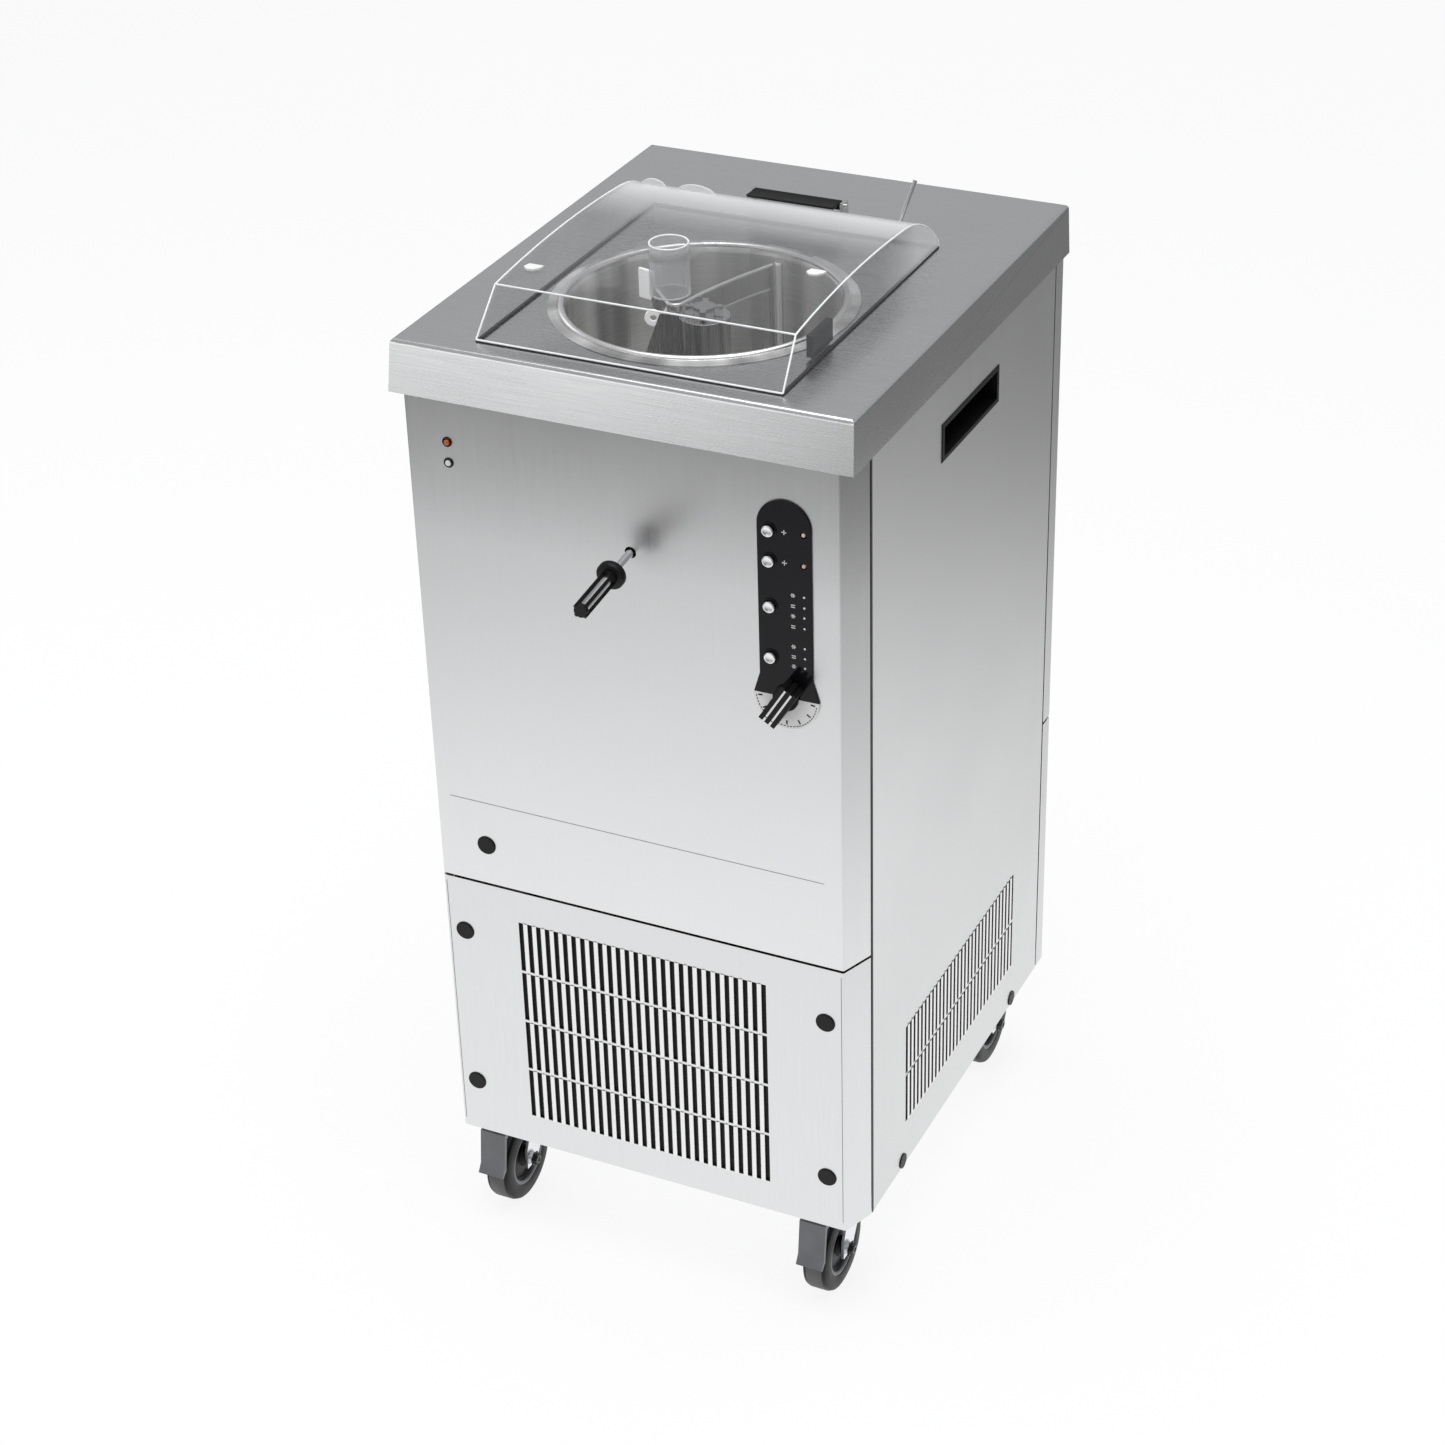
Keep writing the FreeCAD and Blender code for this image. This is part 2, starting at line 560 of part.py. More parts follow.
def motor_pinion():
    half_step = math.pi / PINION_TEETH
    y = BOWL_Y + gear_centres()
    wheel = gear(PINION_TEETH, GEAR_T, 5, 0, y, -math.pi / 2 + half_step)
    return join([wheel, post(5, 0, y, 706, GEAR_Z + GEAR_T + 10)])


def gearbox_housing():
    back = BOWL_Y + gear_centres() + 34
    outer = block(-88, 88, BOWL_Y - 88, back, 712, 762)
    inner = block(-82, 82, BOWL_Y - 82, back - 6, 717, 757)
    legs = [block(x - 6, x + 6, y - 6, y + 6, 762, 850)
            for x in (-80, 80) for y in (BOWL_Y - 80, BOWL_Y + 80)]
    bores = [post(SHAFT_R + 0.05, 0, BOWL_Y, 700, 800), post(12, 0, BOWL_Y + gear_centres(), 700, 720)]
    return join([outer.cut(inner)] + legs).cut(bores)


def drive_motor():
    y = BOWL_Y + gear_centres()
    body = post(68, 0, y, 540, 700)
    fins = [turned(block(-72, 72, y - 2, y + 2, 560, 690), (0, y, 0), (0, 0, 1), angle)
            for angle in range(0, 180, 20)]
    flange = block(-60, 60, y - 60, y + 32, 700, 712)
    air_gap = ring(46, 34, 0, y, 552, 692)
    return join([body, flange] + fins).cut([post(5.5, 0, y, 690, 715), air_gap])


# Refrigeration
def compressor():
    x, y = 60, 110
    shell = post(88, x, y, 160, 300)
    dome = Part.makeSphere(88, Vector(x, y, 300)).cut(block(-100, 200, -50, 250, 180, 300))
    dome = dome.transformGeometry(FreeCAD.Matrix(1, 0, 0, 0, 0, 1, 0, 0, 0, 0, 0.6, 120, 0, 0, 0, 1))
    feet = [post(14, x + a, y + b, 127, 160) for a in (-70, 70) for b in (-70, 70)]
    saddle = block(x - 88, x + 88, y - 88, y + 88, 154, 160)
    cavity = post(83, x, y, 165, 318)
    works = post(54, x, y, 160, 250)
    return join([shell, dome, saddle] + feet).cut(cavity).fuse(works).removeSplitter()


def condenser():
    core = block(-145, 145, -258, -222, 160, 418)
    fins = [block(x - 2.2, x + 2.2, -264, -216, 156, 422) for x in range(-144, 145, 12)]
    tubes = [rod(5, (-158, -240, z), (158, -240, z)) for z in range(176, 410, 26)]
    return join([core] + fins + tubes)


def fan_shroud():
    plate = block(-150, 150, -212, -208, 140, 430)
    hole = rod(118, (0, -220, FAN_Z), (0, -200, FAN_Z))
    collar = rod(122, (0, -208, FAN_Z), (0, -168, FAN_Z)).cut(rod(118, (0, -210, FAN_Z), (0, -160, FAN_Z)))
    arms = [block(-122, 122, -166, -162, FAN_Z - 8, FAN_Z + 8),
            block(-8, 8, -166, -162, FAN_Z - 122, FAN_Z + 122)]
    motor = rod(32, (0, -166, FAN_Z), (0, -110, FAN_Z)).cut(rod(4.5, (0, -170, FAN_Z), (0, -140, FAN_Z)))
    links = [block(x - 6, x + 6, -169, -162, FAN_Z - 8, FAN_Z + 8) for x in (-120, 120)]
    links += [block(-8, 8, -169, -162, z - 6, z + 6) for z in (FAN_Z - 120, FAN_Z + 120)]
    return join([plate.cut(hole), collar] + arms + links).cut(
        rod(32, (0, -167, FAN_Z), (0, -160, FAN_Z))).fuse(motor).removeSplitter()


def condenser_fan():
    hub = rod(24, (0, FAN_Y - 14, FAN_Z), (0, FAN_Y + 12, FAN_Z))
    shaft = rod(4, (0, FAN_Y + 10, FAN_Z), (0, -142, FAN_Z))
    blades = []
    for number in range(5):
        blade = block(-20, 20, FAN_Y - 1.2, FAN_Y + 1.2, FAN_Z + 20, FAN_Z + 112)
        blade = turned(blade, (0, FAN_Y, FAN_Z), (0, 0, 1), 28)
        blades.append(turned(blade, (0, FAN_Y, FAN_Z), (0, 1, 0), 72 * number))
    return join([hub, shaft] + blades)


def refrigerant_pipes():
    hot = pipe([(-40, 110, 250), (-110, 110, 250), (-110, 110, 176), (-175, 110, 176),
                (-175, -240, 176), (-162, -240, 176)], 4, 6)
    drier = rod(11, (-190, -120, 300), (-190, 0, 300))
    liquid = pipe([(-162, -240, 410), (-190, -240, 410), (-190, -240, 300), (-190, -121, 300)], 4, 8)
    rising = pipe([(-190, 1, 300), (-190, 40, 300), (-190, 40, 940), (-165, 40, 940)], 3, 8)
    suction = pipe([(150, 110, 230), (200, 110, 230), (200, 110, 900), (200, 20, 900), (172, 20, 900)], 5, 12)
    return group([hot, drier, liquid, rising, suction])


def drain_direction():
    angle = math.radians(DRAIN_DROP_DEG)
    return Vector(0, -math.cos(angle), -math.sin(angle))


def drain_point(distance):
    """A point on the drain rod's axis, at a distance out from the front panel."""
    out = drain_direction() * distance
    return (DRAIN_X, BODY_FRONT + out.y, DRAIN_Z + out.z)


def drain_pipe():
    """A clamp round the bowl's drain stub and the pipe that leads to the rear spigot."""
    tee_y = drain_point(DRAIN_TEE)[1]
    clamp = rod(13, drain_point(DRAIN_TEE - 8), drain_point(DRAIN_TEE + 8))
    clamp = clamp.cut(rod(9.05, drain_point(DRAIN_TEE - 12), drain_point(DRAIN_TEE + 12)))
    neck = ring(8, 5, DRAIN_X, tee_y, 855, 874)
    clamp = join([clamp, neck.cut(rod(9.05, drain_point(-60), drain_point(-10)))])
    outer = pipe([(DRAIN_X, tee_y, 856), (DRAIN_X, tee_y, OUTLET_Z), (OUTLET_X, tee_y, OUTLET_Z),
                  (OUTLET_X, BODY_BACK + 1, OUTLET_Z)], 7, 16)
    spigot = rod(8, (OUTLET_X, BODY_BACK + 0.5, OUTLET_Z), (OUTLET_X, BODY_BACK + 13, OUTLET_Z))
    bore = rod(5.5, (OUTLET_X, BODY_BACK - 30, OUTLET_Z), (OUTLET_X, BODY_BACK + 20, OUTLET_Z))
    return join([clamp, outer, spigot]).cut([bore, post(4.5, DRAIN_X, tee_y, 800, 880)])


def drain_rod():
    shaft = rod(4, drain_point(-58), drain_point(38))
    plunger = rod(DRAIN_BORE_R - 0.08, drain_point(-60), drain_point(-52))
    collar = rod(14.5, drain_point(36), drain_point(45))
    collar = collar.makeFillet(2.0, [edge for edge in collar.Edges if edge.Length > 80
                                     and len(edge.Vertexes) == 1])
    core = rod(5.5, drain_point(45), drain_point(100))
    return join([shaft, plunger, collar, core])


def drain_grip():
    """Four ribs around the handle's bright core, running along it."""
    axis = drain_direction()
    length = 60.0
    middle = drain_point(45)
    ribs = []
    for number in range(4):
        rib = block(DRAIN_X + 5.6, DRAIN_X + 8.2, middle[1] - length, middle[1],
                    middle[2] - 1.6, middle[2] + 1.6)
        rib = turned(rib, middle, (1, 0, 0), DRAIN_DROP_DEG)
        ribs.append(turned(rib, middle, tuple(axis), 45 + 90 * number))
    cap = rod(6.6, drain_point(100.2), drain_point(105.2))
    base = rod(8.2, drain_point(45.2), drain_point(48.2)).cut(rod(5.6, drain_point(45), drain_point(49)))
    return join([base, cap] + ribs)


# Lid
def lid_profile(inset):
    """The hood's side outline as a face in the YZ plane, set in by the wall thickness."""
    z = WORKTOP_TOP
    drop = inset
    front = Vector(0, LID_FRONT + inset, z + SEAL_H - (1 if inset else 0))
    brow = Vector(0, -218 + inset * 0.8, z + 45 - drop)
    crown = Vector(0, -75, z + LID_RISE - drop)
    shoulder = Vector(0, 45, z + 49 - drop)
    slope = Vector(0, 92 - drop * 0.6, z + 34 - drop * 0.8)
    heel = Vector(0, LID_BACK - drop, z + 8)
    foot = Vector(0, LID_BACK - drop, z + SEAL_H - (1 if inset else 0))
    edges = [Part.makeLine(front, brow), Part.Arc(brow, crown, shoulder).toShape(),
             Part.Arc(shoulder, slope, heel).toShape(), Part.makeLine(heel, foot),
             Part.makeLine(foot, front)]
    return Part.Face(Part.Wire(edges))


def lid_block(inset):
    body = lid_profile(inset).extrude(Vector(400, 0, 0))
    body.translate(Vector(-200, 0, 0))
    z0 = WORKTOP_TOP - 5
    z1 = WORKTOP_TOP + 80
    lean = (LID_HALF_W - LID_TOP_HALF_W) / LID_RISE
    low = LID_HALF_W - inset + lean * 5
    high = LID_HALF_W - inset - lean * 80
    return body.common(prism_y([(-low, z0), (low, z0), (high, z1), (-high, z1)], -300, 200))


def lid():
    hood = lid_block(0).cut(lid_block(LID_WALL))
    return hood.cut(post(CHUTE_R + 0.3, CHUTE_X, CHUTE_Y, WORKTOP_TOP + 20, WORKTOP_TOP + 80))


def lid_seal():
    edge = LID_HALF_W - 0.2
    outer = block(-edge, edge, LID_FRONT, LID_BACK, WORKTOP_TOP + 0.1, WORKTOP_TOP + SEAL_H)
    inner = block(-edge + 3, edge - 3, LID_FRONT + 3, LID_BACK - 3, WORKTOP_TOP, WORKTOP_TOP + 5)
    return outer.cut(inner)


def lid_magnet():
    x = LID_HALF_W - LID_WALL - 2.4
    return block(x - 7, x, -176, -130, WORKTOP_TOP + 3, WORKTOP_TOP + 25)


def hinge_bar():
    """The lid's knuckle: a bored bar with a leaf that runs forward onto the lid."""
    bar = rod(5.0, (-48, HINGE_Y, HINGE_Z), (48, HINGE_Y, HINGE_Z))
    leaf = prism_x([(HINGE_Y, HINGE_Z + 4.5), (HINGE_Y - 22.5, HINGE_Z + 5.5),
                    (HINGE_Y - 19.5, HINGE_Z + 2.0), (HINGE_Y - 1, HINGE_Z + 1)], -48, 48)
    bore = rod(2.55, (-60, HINGE_Y, HINGE_Z), (60, HINGE_Y, HINGE_Z))
    return join([bar, leaf]).cut([bore, lid_block(0)])


def hinge_bracket():
    ears = []
    for side in (-1, 1):
        x0, x1 = sorted((side * 49, side * 53))
        ear = prism_x([(HINGE_Y - 6, WORKTOP_TOP), (HINGE_Y + 9, WORKTOP_TOP),
                       (HINGE_Y + 6, HINGE_Z + 4), (HINGE_Y - 6, HINGE_Z + 4)], x0, x1)
        ears.append(ear)
    base = block(-53, 53, HINGE_Y - 2, HINGE_Y + 22, WORKTOP_TOP, WORKTOP_TOP + 2)
    return join(ears + [base]).cut(rod(2.5, (-60, HINGE_Y, HINGE_Z), (60, HINGE_Y, HINGE_Z)))


def hinge_pin():
    return rod(2.5, (-55, HINGE_Y, HINGE_Z), (55, HINGE_Y, HINGE_Z))


def feed_chute():
    top = WORKTOP_TOP + LID_RISE + 8.5
    tube = ring(CHUTE_R, CHUTE_R - 2.0, CHUTE_X, CHUTE_Y, WORKTOP_TOP + 9, top)
    flange = ring(34.5, CHUTE_R - 2.0, CHUTE_X, CHUTE_Y, WORKTOP_TOP + LID_RISE + 0.3,
                  WORKTOP_TOP + LID_RISE + 2.3)
    return join([tube, flange])


def lid_stop_rod():
    boss = post(5, 108, 133, WORKTOP_TOP, WORKTOP_TOP + 5)
    stay = rod(2.2, (108, 133, WORKTOP_TOP + 3), (121, 153, WORKTOP_TOP + 54))
    return join([boss, stay])


def safety_sensor():
    x = LID_HALF_W
    return block(x - 16, x, -172, -138, WORKTOP_TOP - SHEET - 12, WORKTOP_TOP - SHEET)


# Castors
def castor_plate(x, y):
    plate = block(x - 30, x + 30, y - 34, y + 34, BODY_BOTTOM - 3, BODY_BOTTOM)
    boss = post(11, x, y, BODY_BOTTOM - 6, BODY_BOTTOM - 3)
    bolts = [post(4, x + a, y + b, BODY_BOTTOM - 6, BODY_BOTTOM - 3) for a in (-23, 23) for b in (-26, 26)]
    nut = post(9, x, y, BODY_BOTTOM - 20, BODY_BOTTOM - 16.3)
    stud = post(6, x, y, BODY_BOTTOM - 20, BODY_BOTTOM - 6)
    return join([plate, boss, stud, nut] + bolts)


def pedal_pivot(y, side):
    return (y + side * (CASTOR_TRAIL + 26), BODY_BOTTOM - 11)


def castor_fork(x, y, side, braked):
    """A swivel fork; side is -1 when the wheel trails to the front and 1 to the back."""
    head = ring(22, 6.05, x, y, BODY_BOTTOM - 16, BODY_BOTTOM - 6.4)
    axle = side * CASTOR_TRAIL
    profile = [(-side * 19, BODY_BOTTOM - 9), (side * 19, BODY_BOTTOM - 9), (axle + side * 11, WHEEL_R + 14),
               (axle + side * 11, WHEEL_R - 8), (axle - side * 11, WHEEL_R - 8), (-side * 8, WHEEL_R + 40)]
    points = [(y + a, z) for a, z in profile]
    near = WHEEL_W / 2 + 1.5
    far = WHEEL_W / 2 + 4.5
    legs = [prism_x(points, x + near, x + far), prism_x(points, x - far, x - near)]
    crown = block(x - far, x + far, y - 19, y + 19, BODY_BOTTOM - 16, BODY_BOTTOM - 9)
    crown = crown.cut(post(6.05, x, y, BODY_BOTTOM - 20, BODY_BOTTOM - 5))
    room = rod(WHEEL_R + 2, (x - near + 0.1, y + axle, WHEEL_R), (x + near - 0.1, y + axle, WHEEL_R))
    reach = WHEEL_W / 2 + 8
    bolt = rod(4, (x - reach, y + axle, WHEEL_R), (x + reach, y + axle, WHEEL_R))
    caps = [rod(7, (x + far, y + axle, WHEEL_R), (x + reach, y + axle, WHEEL_R)),
            rod(7, (x - reach, y + axle, WHEEL_R), (x - far, y + axle, WHEEL_R))]
    pieces = [join([head, crown]).cut(room)] + legs + [bolt] + caps
    if braked:
        pivot_y, pivot_z = pedal_pivot(y, side)
        arm = [(y - side * 5, BODY_BOTTOM - 9), (y + side * 14, BODY_BOTTOM - 9),
               (pivot_y + side * 5, pivot_z + 4), (pivot_y + side * 5, pivot_z - 5),
               (y + side * 14, BODY_BOTTOM - 30)]
        pieces += [prism_x(arm, x + near, x + far), prism_x(arm, x - far, x - near)]
        pieces.append(rod(2, (x - far, pivot_y, pivot_z), (x + far, pivot_y, pivot_z)))
    return join(pieces)


def castor_wheel(x, y, side):
    axle_y = y + side * CASTOR_TRAIL
    half = WHEEL_W / 2
    tyre = rod(WHEEL_R, (x - half, axle_y, WHEEL_R), (x + half, axle_y, WHEEL_R))
    tyre = tyre.makeFillet(5, [edge for edge in tyre.Edges if edge.Length > 200 and len(edge.Vertexes) == 1])
    dish = rod(31, (x - half - 1, axle_y, WHEEL_R), (x - half + 6, axle_y, WHEEL_R))
    dishes = [dish, moved(dish, WHEEL_W - 5, 0, 0)]
    hub = rod(10, (x - half, axle_y, WHEEL_R), (x + half, axle_y, WHEEL_R))
    bore = rod(4.05, (x - half - 1, axle_y, WHEEL_R), (x + half + 1, axle_y, WHEEL_R))
    return join([tyre.cut(dishes), hub]).cut(bore)


def brake_pedal(x, y, side):
    """A plastic pedal that hangs in front of the wheel from a pin through its top edge."""
    pivot_y, pivot_z = pedal_pivot(y, side)
    outline = [(-6, -4), (-4, 5), (8, 6), (24.5, 1), (29.5, -40), (36, -50), (33.5, -52), (26, -46),
               (20, -6), (7, -2), (4, -5)]
    half = WHEEL_W / 2 + 1
    plate = prism_x([(pivot_y + side * a, pivot_z + b) for a, b in outline], x - half, x + half)
    return plate.cut(rod(2.05, (x - half - 1, pivot_y, pivot_z), (x + half + 1, pivot_y, pivot_z)))


CASTORS = {"front_left": (CASTOR_LEFT_X, CASTOR_FRONT_Y, -1),
           "front_right": (CASTOR_RIGHT_X, CASTOR_FRONT_Y, -1),
           "rear_left": (CASTOR_LEFT_X, CASTOR_REAR_Y, 1),
           "rear_right": (CASTOR_RIGHT_X, CASTOR_REAR_Y, 1)}


def power_gland():
    body = rod(11, (GLAND_X, BODY_BACK, GLAND_Z), (GLAND_X, BODY_BACK + 12, GLAND_Z))
    barrel = rod(8.8, (GLAND_X, BODY_BACK - 14, GLAND_Z), (GLAND_X, BODY_BACK, GLAND_Z))
    bore = rod(4.5, (GLAND_X, BODY_BACK - 20, GLAND_Z), (GLAND_X, BODY_BACK + 20, GLAND_Z))
    return join([body, barrel]).cut(bore)


def screws():
    heads = []
    for x in (-225, 225):
        for z in (145, 435, 475, 985):
            heads.append(rod(4, (x, BODY_BACK, z), (x, BODY_BACK + 2.2, z)))
    heads += [post(3.5, x, HINGE_Y + 15, WORKTOP_TOP + 2, WORKTOP_TOP + 4) for x in (-38, 0, 38)]
    return group(heads)


PIECES = {
    "chassis": chassis, "front_upper_panel": front_upper_panel, "front_lower_panel": front_lower_panel,
    "right_side_panel": right_side_panel, "rear_lower_panel": rear_lower_panel,
    "rear_upper_panel": rear_upper_panel, "worktop": worktop,
    "panel_plugs": panel_plugs, "control_strip": control_strip, "dial_plate": dial_plate,
    "indicator_lamps": indicator_lamps, "timer_knob": timer_knob, "control_board": control_board,
    "bowl": bowl, "bowl_insulation": bowl_insulation, "evaporator_coil": evaporator_coil,
    "paddle": paddle, "scrapers": scrapers, "paddle_nut": paddle_nut, "drive_shaft": drive_shaft,
    "drive_gear": drive_gear, "motor_pinion": motor_pinion, "gearbox_housing": gearbox_housing,
    "drive_motor": drive_motor, "compressor": compressor, "condenser": condenser,
    "fan_shroud": fan_shroud, "condenser_fan": condenser_fan, "refrigerant_pipes": refrigerant_pipes,
    "drain_pipe": drain_pipe, "drain_rod": drain_rod, "drain_grip": drain_grip, "lid": lid,
    "lid_seal": lid_seal, "lid_magnet": lid_magnet, "hinge_bar": hinge_bar,
    "hinge_bracket": hinge_bracket, "hinge_pin": hinge_pin, "feed_chute": feed_chute,
    "lid_stop_rod": lid_stop_rod, "safety_sensor": safety_sensor, "power_gland": power_gland,
    "screws": screws,
}

for name, make in PIECES.items():
    save(name, make())

save("left_side_panel", mirrored(right_side_panel()))
save("hand_holds", group([hand_hold(), mirrored(hand_hold())]))
save("castor_plates", group([castor_plate(x, y) for x, y, side in CASTORS.values()]))

for number, z in enumerate(BUTTON_Z, start=1):
    save("push_button_%d" % number, push_button(z))

for place, seat in CASTORS.items():
    braked = place.startswith("front")
    save("castor_fork_" + place, castor_fork(*seat, braked))
    save("castor_wheel_" + place, castor_wheel(*seat))
    if braked:
        save("brake_pedal_" + place, brake_pedal(*seat))
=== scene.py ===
"""Ice cream maker: looks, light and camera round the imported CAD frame. Lengths are in metres."""

import json
import math

import bmesh
import bpy
from mathutils import Matrix, Vector


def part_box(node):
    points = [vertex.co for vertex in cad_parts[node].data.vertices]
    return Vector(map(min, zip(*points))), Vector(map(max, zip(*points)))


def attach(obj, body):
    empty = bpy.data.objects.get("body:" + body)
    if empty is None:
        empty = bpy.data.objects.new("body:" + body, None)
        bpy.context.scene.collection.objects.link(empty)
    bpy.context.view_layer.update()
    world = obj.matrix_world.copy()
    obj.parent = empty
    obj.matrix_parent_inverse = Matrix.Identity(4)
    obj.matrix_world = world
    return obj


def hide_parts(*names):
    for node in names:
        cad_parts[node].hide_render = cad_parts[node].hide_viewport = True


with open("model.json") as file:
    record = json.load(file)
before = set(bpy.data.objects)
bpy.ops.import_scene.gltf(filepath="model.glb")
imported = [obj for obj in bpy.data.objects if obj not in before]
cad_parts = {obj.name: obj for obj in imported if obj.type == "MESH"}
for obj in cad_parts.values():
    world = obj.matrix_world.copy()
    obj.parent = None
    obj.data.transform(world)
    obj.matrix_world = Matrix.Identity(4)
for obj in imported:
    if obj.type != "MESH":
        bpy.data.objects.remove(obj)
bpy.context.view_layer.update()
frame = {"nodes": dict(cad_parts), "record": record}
NODES = frame["nodes"]
SLOT_OF = {part["node"]: part["material_slot"] for part in frame["record"]["subparts"]}
BODIES = frame["record"]["behaviour"]["bodies"]
BODY_OF = {node: body for body, nodes in BODIES.items() for node in nodes}

# Places and sizes in millimetres, from the worktop's middle and the floor
MM = 0.001
WORKTOP_HALF_D = 278.7
HALF_W = 241.0
BODY_FRONT = -282.0
BOWL_PLACE = -88.0
CHUTE_X = -30.0
CHUTE_PLACE = -100.0
CENTRE_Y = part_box("worktop")[1].y - WORKTOP_HALF_D * MM
BOWL_Y = CENTRE_Y + BOWL_PLACE * MM


def at(x, y, z):
    """A point given in millimetres from the worktop's middle, with z from the floor."""
    return Vector((x * MM, y * MM + CENTRE_Y, z * MM))


# Materials
class Paint:
    """One Principled material and the few nodes that vary it."""

    def __init__(self, name, colour, **sockets):
        self.material = bpy.data.materials.new(name)
        self.material.use_nodes = True
        self.tree = self.material.node_tree
        self.shader = self.tree.nodes["Principled BSDF"]
        self.colour = colour
        self.shader.inputs["Base Color"].default_value = (*colour, 1)
        for socket, value in sockets.items():
            self.shader.inputs[socket.replace("_", " ")].default_value = value
        self.place = self.tree.nodes.new("ShaderNodeTexCoord").outputs["Object"]

    def node(self, kind, values=(), **settings):
        made = self.tree.nodes.new(kind)
        for name, value in settings.items():
            setattr(made, name, value)
        for socket, value in dict(values).items():
            made.inputs[socket].default_value = value
        return made

    def link(self, start, end):
        self.tree.links.new(start, end)

    def noise(self, scale, size=1.0, detail=3.0, place=None):
        """Noise over the object's own place, stretched by a scale along each axis."""
        mapping = self.node("ShaderNodeMapping", {"Scale": scale})
        self.link(place or self.place, mapping.inputs["Vector"])
        noise = self.node("ShaderNodeTexNoise", {"Scale": size, "Detail": detail})
        self.link(mapping.outputs["Vector"], noise.inputs["Vector"])
        return noise.outputs["Fac"]

    def spread(self, source, low, high, start=0.3, end=0.7):
        ends = {"From Min": start, "From Max": end, "To Min": low, "To Max": high}
        node = self.node("ShaderNodeMapRange", ends)
        self.link(source, node.inputs["Value"])
        return node.outputs["Result"]

    def math(self, operation, first, second=0.0):
        node = self.node("ShaderNodeMath", operation=operation)
        for socket, value in zip(node.inputs, (first, second)):
            if isinstance(value, (int, float)):
                socket.default_value = value
            else:
                self.link(value, socket)
        return node.outputs["Value"]

    def tint(self, factor, dark, light):
        """Runs the base colour from a dark to a light share of the paint's own colour."""
        mix = self.node("ShaderNodeMix", data_type="RGBA")
        self.link(factor, mix.inputs["Factor"])
        mix.inputs[6].default_value = (*[c * dark for c in self.colour], 1)
        mix.inputs[7].default_value = (*[min(c * light, 1) for c in self.colour], 1)
        self.link(mix.outputs[2], self.shader.inputs["Base Color"])

    def rough(self, factor, low, high):
        self.link(self.spread(factor, low, high), self.shader.inputs["Roughness"])

    def bump(self, height, strength, distance):
        node = self.node("ShaderNodeBump", {"Strength": strength, "Distance": distance})
        self.link(height, node.inputs["Height"])
        self.link(node.outputs["Normal"], self.shader.inputs["Normal"])


LINE_SHARE = 0.7
PAINTED_LIGHT_SHARE = 0.85


def brushed(name, colour, rough, grain, swing=0.05, bump=0.12, painted_light_fade=None):
    """Stainless steel with a fine grain along one axis and faint handling clouds.

    Where a height shading is given as (first Z, last Z, first share, last share), the tone shifts with
    height: painted light and shade, standing in for how the light falls, not a colour of the steel.
    """
    paint = Paint(name, colour, Metallic=1.0)
    lines = paint.noise(grain, detail=4.0)
    clouds = paint.noise((5, 5, 5), detail=5.0)
    both = paint.math("ADD", paint.math("MULTIPLY", lines, LINE_SHARE),
                      paint.math("MULTIPLY", clouds, 1 - LINE_SHARE))
    shade = paint.spread(both, 0, 1)
    first_share, last_share = 1 - swing, 1 + swing
    if painted_light_fade:
        first_z, last_z, first_share, last_share = painted_light_fade
        # Painted light and shade: the tone runs from the first share to the last with height, as shade
        # under the worktop and reflected light fall on the sheet.
        parts = paint.node("ShaderNodeSeparateXYZ")
        paint.link(paint.place, parts.inputs[0])
        height = paint.spread(parts.outputs["Z"], 0, PAINTED_LIGHT_SHARE, first_z, last_z)
        shade = paint.math("ADD", paint.math("MULTIPLY", shade, 1 - PAINTED_LIGHT_SHARE), height)
    paint.tint(shade, first_share, last_share)
    paint.rough(both, rough - 0.06, rough + 0.08)
    paint.bump(lines, bump, 0.00012)
    return paint.material


def moulded(name, colour, rough, grain=2600, swing=0.12, bump=0.15, **sockets):
    """Plastic or rubber with a moulded grain, slightly uneven in shine."""
    paint = Paint(name, colour, **sockets)
    fine = paint.noise((grain, grain, grain), detail=2.0)
    clouds = paint.noise((40, 40, 40), detail=4.0)
    paint.tint(paint.spread(clouds, 0, 1), 1 - swing, 1 + swing)
    paint.rough(clouds, rough - 0.05, rough + 0.07)
    paint.bump(fine, bump, 0.0001)
    return paint.material


CLEAR_ROUGH = 0.03
HAZE_ALPHA = 0.02
MILKY_ALPHA = 0.4
CLEAR_TONE = 0.3


def clear(name, colour, low, high, haze_from=None):
    """Clear plastic: nearly all light goes through it face on, and less at a slant.

    Where haze_from is given as (start, end), the plastic turns milky from one Y to the other.
    """
    paint = Paint(name, colour, IOR=1.58, Specular_IOR_Level=0.8)
    weight = paint.node("ShaderNodeLayerWeight", {"Blend": 0.5})
    haze = paint.noise((30, 30, 30), detail=3.0)
    alpha = paint.spread(weight.outputs["Facing"], low, high, 0.45, 1.0)
    alpha = paint.math("ADD", alpha, paint.math("MULTIPLY", haze, HAZE_ALPHA))
    if haze_from:
        parts = paint.node("ShaderNodeSeparateXYZ")
        paint.link(paint.place, parts.inputs[0])
        milky = paint.spread(parts.outputs["Y"], 0, 1, *haze_from)
        paint.tint(milky, CLEAR_TONE, 1.0)
        alpha = paint.math("ADD", alpha, paint.math("MULTIPLY", milky, MILKY_ALPHA))
    paint.link(alpha, paint.shader.inputs["Alpha"])
    paint.rough(haze, CLEAR_ROUGH, CLEAR_ROUGH + 0.03)
    return paint.material


# Share of the painted reflection stripes in the bowl's tone.
PAINTED_REFLECTION_SHARE = 0.8


